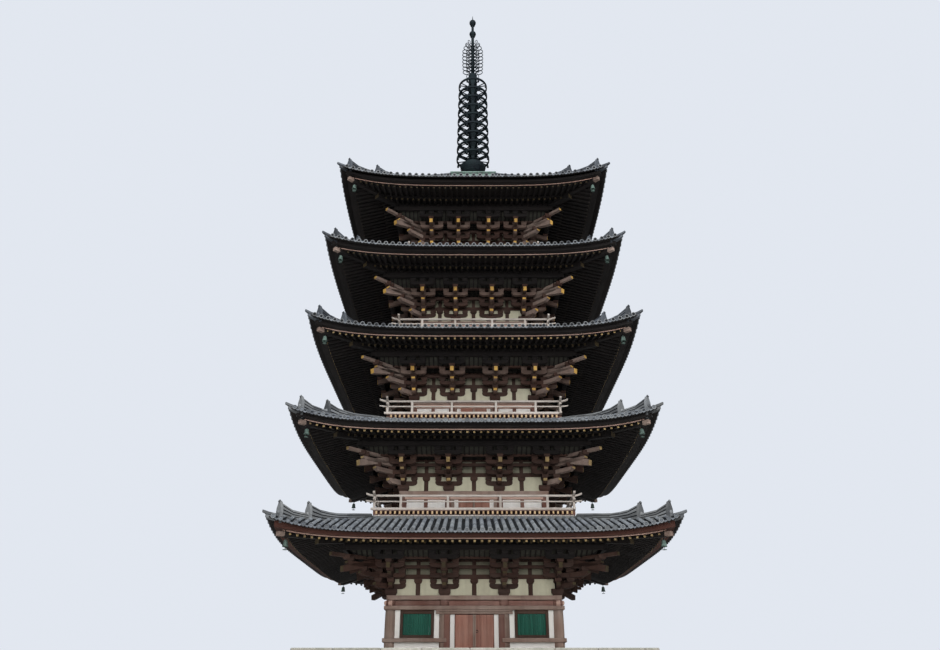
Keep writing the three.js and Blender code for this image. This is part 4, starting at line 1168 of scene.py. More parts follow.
def ridge(parts, storey, crest_line, width):
    """A layered ridge along the hip. Its crest line is given as (out, height above the roof)."""
    reaches, heights = zip(*crest_line)
    places = courses(reaches[-1], reaches[0])
    rings = []
    for out in places:
        section = ridge_section(width, float(np.interp(out, reaches, heights)) - CAP_RADIUS - 0.01)
        rings.append([hip_place(parts, storey, out, a, h) for a, h in section])
    rows, count = len(rings), len(rings[0])
    side = 4 * RIDGE_LAYERS + 1
    nearest = [min(i, count - 2 - i) for i in range(count)]
    ridge_look = ridge_finish(storey)
    # The recessed joint faces take the near-black tile colour, which is painted shade.
    strip = ["pan_tile" if near < side and near % 4 in (2, 3, 0) else ridge_look for near in nearest]
    tones = [chance.uniform(0.3, 1) for _ in range((rows - 1) * count)]
    finishes = strip * (rows - 1) + [ridge_look] * 2
    points = [point for ring in rings for point in ring]
    faces = ring_faces(rows, count) + end_faces(rows, count)
    parts.add(points, faces, finishes, "x", False, None, tones + [0.5, 0.5])


print("Ridge finishes:", [ridge_finish(storey) for storey in range(STOREYS)])

# %% [markdown]
# Past the last ridge tile the corner ends in two thin layers, one over the other, each drawn out to an
# upturned point. A run of four sections that narrow and rise gives that curve.

# %% Upturned ends
END_START, END_RISE = 3.75, 0.07


def hip_end(parts, storey):
    for reach, low, thick in ((4.24, -0.04, 0.13), (4.34, 0.11, 0.09)):
        rings = []
        for share in (0.0, 0.4, 0.75, 1.0):
            out = END_START + (reach - END_START) * share
            half, up = 0.105 * (1 - 0.72 * share ** 3), low + END_RISE * share ** 3
            level = ((half, up), (half, up + thick), (-half, up + thick), (-half, up))
            rings.append([hip_place(parts, storey, out, across, height) for across, height in level])
        run(parts, rings, ridge_finish(storey))


print("The points rise", END_RISE, "m")

# %% [markdown]
# Each ridge ends in a demon tile, a fierce face on a shield. From the ground only the shield shows, with
# its shoulders and a boss, and a round perch tile that juts out above it. So it is a plank of that
# outline with two turned pieces on it.

# %% Demon tile
def demon_tile(parts, storey, out, width, height):
    across = np.array((-1, 1, 0)) / math.sqrt(2)
    outward = np.array((-1, -1, 0)) / math.sqrt(2)
    foot = np.array(hip_place(parts, storey, out, 0, 0))
    w, h = width / 2, height
    shape = [(w * 1.12, -0.12), (w * 1.18, 0.02), (w * 0.86, 0.10), (w, h * 0.42)]
    shape += [(w * 0.92, h * 0.66), (w * 0.55, h * 0.84), (w * 0.30, h)]
    shape += [(-a, b) for a, b in reversed(shape)]
    finish = ridge_finish(storey)
    plank(parts, shape, foot, across, UPRIGHT, 0.11, finish)
    front = foot + outward * 0.05
    boss = [(w * 0.62, 0), (w * 0.56, 0.03), (w * 0.34, 0.055), (w * 0.1, 0.065)]
    turned(parts, front + np.array((0, 0, h * 0.40)), boss, 12, finish, outward, "x")
    tip = outward * math.cos(0.5) + np.array((0, 0, math.sin(0.5)))
    start = foot + np.array((0, 0, h * 0.93)) - outward * 0.06
    turned(parts, start, [(0.045, 0), (0.048, 0.13), (0.06, 0.13), (0.055, 0.15)], 10, finish, tip, "x")


print("The perch tile rises by", round(math.degrees(0.5)), "degrees")

# %% [markdown]
# The lower part of each hip is thinner than the upper one, so there are two demon tiles on the way up.
# The top roof has no balcony above it, and its hips run on to the dew basin.

# %% One hip
UPPER_CREST = [(0.88, 0.25), (1.35, 0.34), (2.05, 0.40), (2.45, 0.48), (2.7, 0.56), (2.92, 0.70)]
LOWER_CREST = [(2.88, 0.36), (3.4, 0.42), (3.65, 0.50), (3.80, 0.63)]
TOP_START = TOP_ROOF_FLAT - half_span(STOREYS - 1)
TOP_UPPER_CREST = [(TOP_START, 0.30), (1.8, 0.36), (2.2, 0.44), (2.42, 0.52), (2.62, 0.66)]
TOP_LOWER_CREST = [(2.58, 0.33)] + LOWER_CREST[1:]


def hip(parts, storey):
    highest = storey == STOREYS - 1
    ridge(parts, storey, TOP_UPPER_CREST if highest else UPPER_CREST, 0.34)
    ridge(parts, storey, TOP_LOWER_CREST if highest else LOWER_CREST, 0.28)
    hip_end(parts, storey)
    demon_tile(parts, storey, 3.85, 0.32, 0.68)
    demon_tile(parts, storey, 2.67 if highest else 2.97, 0.36, 0.72 if highest else 0.77)


print("A hip is", round(math.sqrt(2) * (OVERHANG - SHELF_REACH), 2), "m long in plan")

# %% [markdown]
# At the top of the lower four roofs the slope meets the balcony. There three courses of flat tiles close
# the joint, and mortar plugs the gap between each pair of cover rows.

# %% Top course
def top_course(roof, storey):
    half = roof.half
    for low, near, thick in ((0.03, 0.92, 0.05), (0.08, 0.88, 0.05), (0.13, 0.84, 0.05)):
        roof_layer(
            roof, storey, near, SHELF_REACH - 0.02, lambda out: SHELF_HEIGHT - 0.06 + low + thick * 0.8,
            lambda out: SHELF_HEIGHT - 0.06 + low, "ridge_tile",
        )
    spacing = ROW_SPACINGS[storey]
    rows = int((half + 0.7) / spacing)
    for row in range(-rows, rows):
        x = (row + 0.5) * spacing
        height = tile_bed(storey, x, 0.94)
        timber(roof, (x - 0.06, x + 0.06), (0.90, 0.965), (height - 0.05, height + 0.05), "old_mortar")


print("The top course lies", SHELF_HEIGHT, "m above the wall plate")

# %% [markdown]
# All five roofs come from the same functions. Only the storey's number changes, and with it the span,
# the lift of the corners and the spacing of the rows.

# %% The five roofs
for storey in range(STOREYS):
    roof = Parts(half_span(storey), PLATE_TOPS[storey])
    tile_side(roof, storey)
    hip(roof, storey)
    if storey < STOREYS - 1:
        top_course(roof, storey)
    roof.four_sides().make(f"tiled_roof_{storey + 1}", "tile", [f"roof_{storey + 1}"])

# %% [markdown]
# ## Rafters
# Under the tiles two rows of rafters carry the eave. Base rafters run out over the purlin, a beam lies
# on their ends, and lighter flying rafters reach on from it. A rafter is a box whose two ends ask the
# roof for their lift, so it needs no modifier to follow the eave.

# %% A rafter
BASE_END, FLYING_END = 2.40, 3.62
BOARD_REACH = 3.70
FASCIA_REACH = 3.97
BELL_REACH = 3.58
RAFTER_SPACING = 0.27
RAFTER_WIDTH = 0.09


def base_bottom(out):
    return 1.63 + 0.28 * (BASE_END - out)


def flying_bottom(out):
    return 1.80 - 0.27 * (out - BASE_END)


def rafter(parts, storey, x, near, far, bottom, depth, width, finish):
    corners = []
    for side in (-1, 1):
        for out in (far, near):
            for up in (0.0, depth):
                lift = corner_lift(storey, x, out)
                corners.append(parts.at(x + side * width / 2, out, bottom(out) + lift + up))
    slab(parts, corners, finish, "y")


print("Base rafters end", round(base_bottom(BASE_END), 2), "m above the plate, flying rafters",
      round(flying_bottom(FLYING_END), 2), "m")

# %% [markdown]
# Their sawn ends are painted yellow against rot, and that makes the dotted line along every eave. The
# paint is a thin plate on each end. Toward a corner all rafters stay parallel and end against the hip
# rafter.

# %% Rows of rafters
def rafters(eaves, storey):
    # The ends of the two highest roofs take the dark end paint, which is partly painted shade.
    paint = "rafter_paint" if storey < 3 else "faded_paint"
    # The rafters' near-black colour is painted shade, the shade deep under the eave.
    rows = int((eaves.half + FLYING_END - 0.12) / RAFTER_SPACING)
    for row in range(-rows, rows + 1):
        x = row * RAFTER_SPACING
        start = abs(x) - eaves.half
        if start < BASE_END - 0.15:
            inner, plate = max(1.55, start), BASE_END + 0.006
            rafter(eaves, storey, x, inner, BASE_END, base_bottom, 0.12, RAFTER_WIDTH, "dark_timber")
            rafter(eaves, storey, x, BASE_END, plate, base_bottom, 0.11, 0.08, "faded_paint")
        inner, plate = max(2.28, start), FLYING_END + 0.008
        rafter(eaves, storey, x, inner, FLYING_END, flying_bottom, 0.09, RAFTER_WIDTH, "dark_timber")
        rafter(eaves, storey, x, FLYING_END, plate, flying_bottom, 0.072, 0.078, paint)


print("Rafters lie", RAFTER_SPACING, "m apart")

# %% [markdown]
# Boards run along and over the rafters. The one at their ends is bleached pink on its outer face, and
# its underside and inner face are painted near black with the shade under the eave. The fascia over it is
# dark red on the lowest storey, painted darker with that shade, and nearly black above. One more stands
# on the purlin and closes the gaps between the rafters.

# %% Eave boards
def eave_boards(eaves, storey):
    roof_layer(eaves, storey, 2.42, 2.26, lambda out: 1.87, lambda out: 1.77, "dark_timber")
    # Only the outer face is pink; the rest of the board is painted near black for the shade under the eave.
    roof_layer(
        eaves, storey, BOARD_REACH, BOARD_REACH - 0.07, lambda out: 1.625, lambda out: 1.565,
        "dark_timber", face="eave_board",
    )
    # The fascia's dark colour is partly painted shade, the shade under the tiles.
    roof_layer(
        eaves, storey, FASCIA_REACH, BOARD_REACH - 0.03, lambda out: 1.74, lambda out: 1.605,
        "fascia_red" if storey == 0 else "dark_timber", 1, (TILE_LIFTS, TIMBER_LIFTS),
    )
    roof_layer(eaves, storey, 1.74, 1.68, lambda out: 1.96, lambda out: 1.66, "dark_timber")
    over_base = (BASE_END, 1.5, base_bottom, 0.122)
    over_flying = (BOARD_REACH - 0.05, 2.3, flying_bottom, 0.092)
    for near, far, bottom, low in (over_base, over_flying):
        roof_layer(
            eaves, storey, near, far, lambda out: bottom(out) + low + 0.03, lambda out: bottom(out) + low,
            "dark_timber", 4,
        )


print("The fascia stands", FASCIA_REACH, "m out from the columns")

# %% [markdown]
# On the diagonal two heavy beams lie one over the other, the hip rafters. The upper one ends in a pale
# shoe. They are slabs like the rafters, set at 45 degrees, and follow the lift of the corner itself.

# %% Hip rafters
def hip_beam(parts, storey, near, far, bottom, depth, width, finish):
    across = np.array((-1, 1, 0)) / math.sqrt(2)
    corners = []
    for side in (-1, 1):
        for out in (far, near):
            edge = parts.half + out
            for up in (0.0, depth):
                height = parts.base + bottom(out) + corner_lift(storey, edge, out) + up
                corners.append(np.array((-edge, -edge, height)) + across * side * width / 2)
    slab(parts, corners, finish, "y")


def hip_rafters(eaves, storey):
    hip_beam(eaves, storey, 1.2, 2.62, lambda out: base_bottom(out) - 0.12, 0.24, 0.24, "dark_timber")
    hip_beam(eaves, storey, 2.62, 2.63, lambda out: base_bottom(2.62) - 0.12, 0.24, 0.24, "faded_paint")
    hip_beam(eaves, storey, 2.3, 3.66, lambda out: flying_bottom(out) - 0.12, 0.24, 0.18, "dark_timber")
    hip_beam(eaves, storey, 3.64, 3.85, lambda out: flying_bottom(out) - 0.09, 0.16, 0.17, "arm_timber")


print("The upper hip rafter reaches", round(math.sqrt(2) * 3.85, 2), "m out on the diagonal")

# %% [markdown]
# A bronze bell hangs under each corner. Its clapper holds a small plate that catches the wind. All of it
# is turned: the shape of a bell is nothing but a profile.

# %% Wind bells
BELL = [(0.02, -0.08), (0.05, -0.095), (0.08, -0.14), (0.09, -0.25)]
BELL += [(0.115, -0.33), (0.10, -0.33), (0.07, -0.25)]


def wind_bell(parts, storey):
    edge = parts.half + BELL_REACH
    top = parts.base + flying_bottom(BELL_REACH) + corner_lift(storey, edge, BELL_REACH) - 0.12
    turned(parts, (-edge, -edge, top), [(0.012, 0), (0.012, -0.12)], 6, "dark_bronze")
    turned(parts, (-edge, -edge, top), BELL, 12, "green_bronze")
    turned(parts, (-edge, -edge, top), [(0.008, -0.15), (0.008, -0.42)], 6, "dark_bronze")
    turned(parts, (-edge, -edge, top - 0.44), [(0.085, 0), (0.085, 0.012)], 12, "green_bronze")


print("A bell is", round(max(up for _, up in BELL) - min(up for _, up in BELL), 2), "m high")

# %% [markdown]
# One side of an eave is its rafters, its boards, the hip rafters of one corner and the bell below them.
# The quarter turns do the rest.

# %% The five eaves
for storey in range(STOREYS):
    eaves = Parts(half_span(storey), PLATE_TOPS[storey])
    rafters(eaves, storey)
    eave_boards(eaves, storey)
    hip_rafters(eaves, storey)
    wind_bell(eaves, storey)
    eaves.four_sides().make(f"rafters_{storey + 1}", "dark_timber", [f"eaves_{storey + 1}"])

# %% [markdown]
# ## Brackets
# Between each wall plate and its roof stand brackets in three steps. Over the column arms cross in a big
# block, each arm carries smaller blocks, and these carry the next arm further out. At the second step a
# slanting tail rafter comes through like a lever and takes the eave purlin. A block is turned with only
# four sides, which gives a square cut back below, and an arm is a plank whose ends are sawn round.

# %% Blocks and wall arms
BLOCK_WIDTH, BLOCK_HEIGHT = 0.27, 0.17
ARM_WIDTH = 0.17
ARM_HALF = 0.58


def block(parts, x, out, height, width=BLOCK_WIDTH, tall=BLOCK_HEIGHT, finish="bracket_timber"):
    profile = [(0.50, 0), (0.60, 0.16), (0.707, 0.42), (0.707, 1)]
    profile = [(width * radius, tall * up) for radius, up in profile]
    turned(parts, parts.at(x, out, height), profile, 4, finish, UPRIGHT, "x", math.pi / 4, False)


def wall_arm(parts, x, out, height, deep=0.20, half=ARM_HALF, finish="bracket_timber"):
    """An arm along the wall with rounded ends, and a block at each end and in the middle."""
    shape = [(half, deep), (half, deep * 0.55), (half - 0.05, deep * 0.22)]
    shape += [(half - 0.14, deep * 0.05), (half - 0.22, 0)]
    shape += [(-a, b) for a, b in reversed(shape)]
    plank(parts, shape, parts.at(x, out, height), ALONG, UPRIGHT, ARM_WIDTH, finish)
    for shift in (-half + 0.13, 0, half - 0.13):
        block(parts, x + shift, out, height + deep, finish=finish)


print("A wall arm is", 2 * ARM_HALF, "m long and carries 3 blocks")

# %% [markdown]
# Not all storeys are lit alike. Higher up the timbers and their yellow ends catch more light, which is
# painted in as paler and brighter finishes, and the deep shade of the lowest storey as darker ones.
# Three small functions choose the finish by storey.

# %% Finishes by storey
def end_finish(parts):
    """The end paint of the lowest storey is painted dark with its deep shade, and is bright from the third
    storey up, where it catches more light.
    """
    if parts.base == PLATE_TOPS[0]:
        return "faded_paint"
    return "rafter_paint" if parts.base == PLATE_TOPS[1] else "end_paint"


def arm_finish(parts):
    """The arms of the three highest storeys catch more light, which is painted in as a paler finish."""
    return "worn_timber" if parts.base in PLATE_TOPS[2:] else "bracket_timber"


def diagonal_finish(parts):
    """The beams of the corners are bleached and painted lighter for the sky light they catch, but those of
    the lowest storey are painted dark with its deep shade.
    """
    return "bracket_timber" if parts.base == PLATE_TOPS[0] else "arm_timber"


for plate_top in PLATE_TOPS:
    place = Parts(base=plate_top)
    print("Plate at", plate_top, "m:", end_finish(place), arm_finish(place), diagonal_finish(place))

# %% [markdown]
# Outward arms are planks too, seen from the side. Their rounded ends carry a plate of yellow paint, and
# so does the tail rafter.

# %% Outward arms and tail rafters
def out_arm(parts, x, far, height, deep):
    shape = [(-0.05, 0), (far - 0.20, 0), (far - 0.09, deep * 0.1), (far - 0.02, deep * 0.34)]
    shape += [(far, deep * 0.6), (far, deep), (-0.05, deep)]
    plank(parts, shape, parts.at(x, 0, height), OUTWARD, UPRIGHT, ARM_WIDTH, arm_finish(parts))
    low, top, side = height + deep * 0.45, height + deep * 0.98, ARM_WIDTH * 0.46
    timber(parts, (x - side, x + side), (far - 0.01, far + 0.008), (low, top), end_finish(parts))


TAIL = [(0.0, 1.35), (1.62, 0.86), (1.70, 0.84), (1.72, 1.06), (0.0, 1.57)]


def tail_rafter(parts, x):
    plank(parts, TAIL, parts.at(x, 0, 0), OUTWARD, UPRIGHT, 0.16, arm_finish(parts))
    face = [(1.695, 0.85), (1.712, 0.85), (1.728, 1.05), (1.71, 1.05)]
    plank(parts, face, parts.at(x, 0, 0), OUTWARD, UPRIGHT, 0.16 * 0.94, end_finish(parts))
    block(parts, x, 1.62, 1.06, 0.25, 0.12)


print("A tail rafter reaches", max(out for out, _ in TAIL), "m out")

# %% [markdown]
# At the corners the same family runs out on the diagonal: three arms, a tail rafter, and a thin beam
# end above them. A plank on the diagonal is drawn as if seen square on, and its direction (-1, -1)
# stretches it by the square root of two, just as a real diagonal arm is longer.

# %% Corner arms
def diagonal(parts, shape, width, finish):
    """A plank on the diagonal of the front left corner, drawn as (out, height)."""
    foot = (-parts.half, -parts.half, parts.base)
    plank(parts, shape, foot, (-1, -1, 0), UPRIGHT, width / math.sqrt(2), finish)


def corner_arms(parts):
    wood, paint = diagonal_finish(parts), end_finish(parts)
    for near, far, low, deep in ((0, 0.62, 0.245, 0.205), (0, 1.15, 0.63, 0.17), (0.4, 1.62, 0.95, 0.16)):
        middle, top = low + deep * 0.5, low + deep
        diagonal(parts, [(near, low), (far - 0.12, low), (far, middle), (far, top), (near, top)], 0.20, wood)
        inside, outside = far - 0.005, far + 0.008
        end = [(inside, middle), (outside, middle), (outside, top - 0.005), (inside, top - 0.005)]
        diagonal(parts, end, 0.19, paint)
        block(parts, -parts.half - far + 0.13, far - 0.13, low + deep, 0.29)
    diagonal(parts, [(0.3, 1.19), (1.66, 0.70), (1.74, 0.68), (1.76, 0.91), (0.3, 1.44)], 0.20, wood)
    diagonal(parts, [(1.735, 0.69), (1.752, 0.69), (1.772, 0.90), (1.755, 0.90)], 0.19, paint)
    diagonal(parts, [(0.3, 1.23), (2.16, 1.23), (2.16, 1.36), (0.3, 1.36)], 0.15, wood)
    diagonal(parts, [(2.155, 1.235), (2.17, 1.235), (2.17, 1.355), (2.155, 1.355)], 0.14, paint)
    block(parts, -parts.half - 1.62, 1.62, 1.16, 0.30, 0.17)


print("The longest corner arm measures", round(math.sqrt(2) * 2.16, 2), "m")

# %% [markdown]
# One bracket set stands over each column. Read from below: block, crossing arms, blocks, longer arms,
# blocks, and so on out to the purlin.

# %% A bracket set
def bracket_set(parts, x):
    block(parts, x, 0, 0, 0.48, 0.245)
    wall_arm(parts, x, 0, 0.245)
    out_arm(parts, x, 0.62, 0.245, 0.205)
    block(parts, x, 0.50, 0.45)
    wall_arm(parts, x, 0.50, 0.63, 0.17)
    out_arm(parts, x, 1.12, 0.63, 0.17)
    block(parts, x, 0.98, 0.80, BLOCK_WIDTH, 0.15)
    wall_arm(parts, x, 0.97, 0.95, 0.17, finish=arm_finish(parts))
    tail_rafter(parts, x)
    # The outermost wall arm is painted near black with the shade under the eave.
    wall_arm(parts, x, 1.62, 1.18, 0.16, finish="dark_timber")


print("Steps at 0.50, 0.97 and 1.62 m out from the columns")

# %% [markdown]
# Between the sets the wall goes on: plaster panels painted darker with the shade of the eave, and darker
# still higher up, a strut with a block in the middle of each bay, and two through beams.

# %% The wall between the brackets
def bracket_bays(parts):
    half, inner = parts.half, parts.half * DOOR_BAY_SHARE
    timber(parts, (-half - 0.5, half + 0.5), (-0.085, 0.085), (0.63, 0.80), "bracket_timber")
    timber(parts, (-half - 0.3, half + 0.3), (-0.085, 0.085), (1.30, 1.46), "bracket_timber")
    # The lower panels are painted darker with the shade of the eave, and the upper ones darker still.
    timber(parts, (-half, half), (-0.05, 0.045), (0.0, 0.70), "aged_plaster", "x")
    timber(parts, (-half, half), (-0.05, 0.045), (0.70, 1.45), "dim_plaster", "x")
    timber(parts, (-half, half), (-0.07, 0.05), (1.45, 2.28), "dark_timber", "x")
    for near, far in ((-half, -inner), (-inner, inner), (inner, half)):
        middle = (near + far) / 2
        strut = (middle - 0.09, middle + 0.09)
        timber(parts, strut, (-0.06, 0.075), (0.0, 0.45), "bracket_timber", "z", 0.01)
        block(parts, middle, 0.0, 0.45, 0.31, 0.18)
        strut = (middle - 0.08, middle + 0.08)
        timber(parts, strut, (-0.06, 0.07), (0.80, 1.30), "bracket_timber", "z", 0.01)


print("A strut stands in each of the 3 bays of a side")

# %% [markdown]
# Boards close the space between the wall and the purlin. First comes a flat lattice ceiling: pale plaster
# boards, painted dark with the shade under the eave, with thin dark bars across them both ways. The bars
# are real, so that they cast shadows.

# %% Purlin and lattice ceiling
LATTICE_STEP = 0.2


def purlin_and_ceiling(parts):
    half = parts.half
    # The purlin is painted near black with the shade under the eave.
    timber(parts, (-half - 1.85, half + 1.85), (1.655, 1.835), (1.50, 1.70), "dark_timber", "x", 0.02)
    timber(parts, (-half - 1.05, half + 1.05), (0.90, 1.05), (1.27, 1.40), "bracket_timber", "x", 0.01)
    timber(parts, (-half - 0.6, half + 0.6), (0.43, 0.57), (0.97, 1.10), "bracket_timber", "x", 0.01)
    outer, inner = half + 1.0, half + 0.04
    rim = ((-outer, 1.0), (outer, 1.0), (inner, 0.04), (-inner, 0.04))
    boards = [parts.at(x, out, height) for height in (1.385, 1.42) for x, out in rim]
    edges = [(0, 1, 5, 4), (1, 2, 6, 5), (2, 3, 7, 6), (3, 0, 4, 7)]
    parts.add(boards, [(0, 1, 2, 3), (4, 5, 6, 7)] + edges, "shaded_plaster")
    first = -math.floor((half + 0.9) / LATTICE_STEP) * LATTICE_STEP
    for x in np.arange(first, half + 0.9, LATTICE_STEP):
        start = max(0.05, abs(x) - half)
        timber(parts, (x - 0.02, x + 0.02), (start, 1.0), (1.35, 1.385), "dark_timber", "y")
    for out in (0.24, 0.44, 0.64, 0.84):
        timber(parts, (-half - out, half + out), (out - 0.02, out + 0.02), (1.352, 1.384), "dark_timber")


print("The ceiling's bars lie", LATTICE_STEP, "m apart")

# %% [markdown]
# From the ceiling a cove of thin curved ribs rises to the purlin. The boards behind the ribs are a run
# of one curved section. Each rib is a plank with the same curve, cut short where it meets the corner.

# %% Cove
COVE = [(1.05, 1.36), (1.30, 1.43), (1.50, 1.53), (1.66, 1.66)]


def cove(parts):
    half, near, far = parts.half, COVE[0][0], COVE[-1][0]
    rings = []
    for side in (-1, 1):
        under = [parts.at(side * (half + out), out, height) for out, height in COVE]
        over = [parts.at(side * (half + out), out, height + 0.03) for out, height in reversed(COVE)]
        rings.append(under + over)
    run(parts, rings, "shaded_plaster")
    first = -math.floor((half + far) / LATTICE_STEP) * LATTICE_STEP
    for x in np.arange(first, half + far, LATTICE_STEP):
        start = abs(x) - half
        if start > far - 0.1:
            continue
        curve = [place for place in COVE if place[0] >= start]
        if start > near:
            curve = [(start, float(np.interp(start, *zip(*COVE))))] + curve
        outline = [(out, height - 0.035) for out, height in curve]
        outline += [(out, height + 0.01) for out, height in reversed(curve)]
        plank(parts, outline, parts.at(x, 0, 0), OUTWARD, UPRIGHT, 0.05, "dark_timber")


print("The cove rises", round(COVE[-1][1] - COVE[0][1], 2), "m")

# %% [markdown]
# One side of a bracket ring has three bracket sets of its own. The fourth column belongs to the next
# side, and here gets only its outward arms and the wall arms that pass it.

# %% The five bracket rings
for storey in range(STOREYS):
    ring = Parts(half_span(storey), PLATE_TOPS[storey])
    for x in (-ring.half, -bay_half(storey), bay_half(storey)):
        bracket_set(ring, x)
    for far, low, deep in ((0.62, 0.245, 0.205), (1.12, 0.63, 0.17)):
        out_arm(ring, ring.half, far, low, deep)
        block(ring, ring.half, far - 0.13, low + deep)
    tail_rafter(ring, ring.half)
    wall_arm(ring, ring.half, 0.50, 0.63, 0.17)
    wall_arm(ring, ring.half, 0.97, 0.95, 0.17, finish=arm_finish(ring))
    # The outermost wall arm is painted near black with the shade under the eave.
    wall_arm(ring, ring.half, 1.62, 1.18, 0.16, finish="dark_timber")
    corner_arms(ring)
    bracket_bays(ring)
    purlin_and_ceiling(ring)
    cove(ring)
    number = storey + 1
    nodes = [f"brackets_{number}", f"bracket_wall_{number}"]
    ring.four_sides().make(f"bracket_ring_{number}", "dark_timber", nodes)

# %% [markdown]
# ## The upper storeys
# Each upper storey is a low copy of the ground storey. Round columns stand on the roof frame below,
# with one long white panel behind them, and the wall plate closes it above. Two beams bind the columns.

# %% Upper wall
def upper_wall(parts, low, deck):
    half, inner = parts.half, parts.half * DOOR_BAY_SHARE
    for x in (-half, -inner, inner):
        column = [(0.155, low), (0.158, deck + 0.4), (0.150, -0.16)]
        turned(parts, parts.at(x, 0, 0), column, 20, "red_timber")
    timber(parts, (-half, half), (-0.06, 0.045), (low, -0.16), "plaster")
    plate = [(-half - 0.17, 0), (-half - 0.10, -0.16), (half + 0.10, -0.16), (half + 0.17, 0)]
    plank(parts, plate, parts.at(0, 0, 0), ALONG, UPRIGHT, 0.34, "grey_timber")
    for bottom, top, reach in ((-0.34, -0.17, 0.13), (deck - 0.06, deck + 0.12, 0.16)):
        beam = (-half - reach, half + reach - 0.12)
        timber(parts, beam, (reach - 0.12, reach), (bottom, top), "eave_board", "x", 0.01)
    for near, far in ((-half, -inner), (inner, half)):
        middle = (near + far) / 2
        post = (middle - 0.078, middle + 0.078)
        timber(parts, post, (-0.02, 0.10), (deck, -0.17), "red_timber", "z", 0.01)


print("The topmost storey is", round(2 * half_span(4), 2), "m wide between its corner columns")

# %% [markdown]
# Nobody climbs up here, so the doors stay shut: two boarded leaves, a strip over their joint, and a
# grey board on each side that fills the bay. One pair is drawn and turned to the four sides.

# %% Upper doors
def upper_doors(parts, deck):
    inner = parts.half * DOOR_BAY_SHARE
    leaf = (inner - 0.155) * 0.72
    for side in (-1, 1):
        near, far = sorted((side * (leaf + 0.17), side * (inner - 0.1)))
        timber(parts, (near, far), (-0.02, 0.11), (deck, -0.34), "grey_timber", "z", 0.01)
        near, far = sorted((side * 0.004, side * leaf))
        timber(parts, (near, far), (0.03, 0.095), (deck + 0.12, -0.34), "door_boards", "z", 0.01)
        near, far = sorted((side * 0.0045, side * 0.05))
        timber(parts, (near, far), (0.09, 0.12), (deck + 0.12, -0.34), "grey_timber", "z", 0.006)


for storey in range(1, STOREYS):
    upper = Parts(half_span(storey), PLATE_TOPS[storey])
    low = PLATE_TOPS[storey - 1] + 2.67 - PLATE_TOPS[storey]
    upper_wall(upper, low, low + 0.62)
    upper_doors(upper, low + 0.62)
    upper.four_sides().make(f"upper_storey_{storey + 1}", "timber", [f"storey_{storey + 1}"])

# %% [markdown]
# A balcony runs round every upper storey. Its rails cross at the corners and sweep up beyond them, a
# habit of the style. The rails face the weather, so they are the palest wood on the tower. A rail with
# swept ends is one plank: its outline is a path and the same path again, higher up.

# %% Balcony rail
RAIL_OUT = 1.08
RAIL_TIP = 0.35


def balcony_rail(parts, out, height, deep, width, rise):
    reach = parts.half + out
    path = [(-reach - RAIL_TIP, rise), (-reach - RAIL_TIP * 0.55, rise * 0.34), (-reach - 0.05, 0.0)]
    path += [(-x, up) for x, up in reversed(path)]
    outline = [(x, up) for x, up in path] + [(x, up + deep) for x, up in reversed(path)]
    plank(parts, outline, parts.at(0, out, height), ALONG, UPRIGHT, width, "pale_timber")


print("Rails stand", RAIL_OUT, "m out and run", RAIL_TIP, "m past the crossing")

# %% [markdown]
# Below the rails lie the floor's joists, whose cream ends make another dotted line. The floor boards lie
# over them with narrow gaps for the rain.

# %% Balconies
JOIST_STEP = 0.19


def balcony_side(parts):
    half, inner = parts.half, parts.half * DOOR_BAY_SHARE
    timber(parts, (-half - 1.06, half + 0.92), (0.92, 1.06), (0.03, 0.175), "pale_timber", "x", 0.012)
    rows = int((half + 1.04) / JOIST_STEP)
    for row in range(-rows, rows + 1):
        x = row * JOIST_STEP
        start = max(0.17, abs(x) - half)
        timber(parts, (x - 0.045, x + 0.045), (start, 1.125), (0.18, 0.33), "red_timber", "y")
        timber(parts, (x - 0.03, x + 0.03), (1.125, 1.132), (0.205, 0.31), "cream_paint", "y")
    boards = np.linspace(0.165, 1.13, 7)
    for near, far in zip(boards, boards[1:]):
        across = (near + 0.003, far - 0.003)
        timber(parts, (-half - far, half + near), across, (0.333, 0.365), "grey_timber", "x", 0.006)
    foot_rail = (-half - RAIL_OUT - 0.14, half + RAIL_OUT - 0.05)
    across = (RAIL_OUT - 0.05, RAIL_OUT + 0.05)
    timber(parts, foot_rail, across, (0.366, 0.455), "pale_timber", "x", 0.008)
    balcony_rail(parts, RAIL_OUT, 0.682, 0.05, 0.06, 0.04)
    balcony_rail(parts, RAIL_OUT, 0.905, 0.075, 0.09, 0.09)
    across = (RAIL_OUT - 0.048, RAIL_OUT + 0.048)
    for x in (-half - RAIL_OUT, -half, -inner, inner, half):
        timber(parts, (x - 0.05, x + 0.05), across, (0.40, 0.925), "pale_timber", "z", 0.01)


for storey in range(1, STOREYS):
    balcony = Parts(half_span(storey), PLATE_TOPS[storey - 1] + 2.8703)
    balcony_side(balcony)
    balcony.four_sides().make(f"balustrade_{storey + 1}", "pale_timber", [f"balcony_{storey + 1}"])

# %% [markdown]
# ## The spire
# The bronze spire is a third of the tower's height. From below: a square dew basin, an inverted bowl,
# a lotus cup, nine rings on spokes, a pierced flame, and two jewels on a rod. The basin is built of
# four sides like the storeys. The round pieces over it are turned.

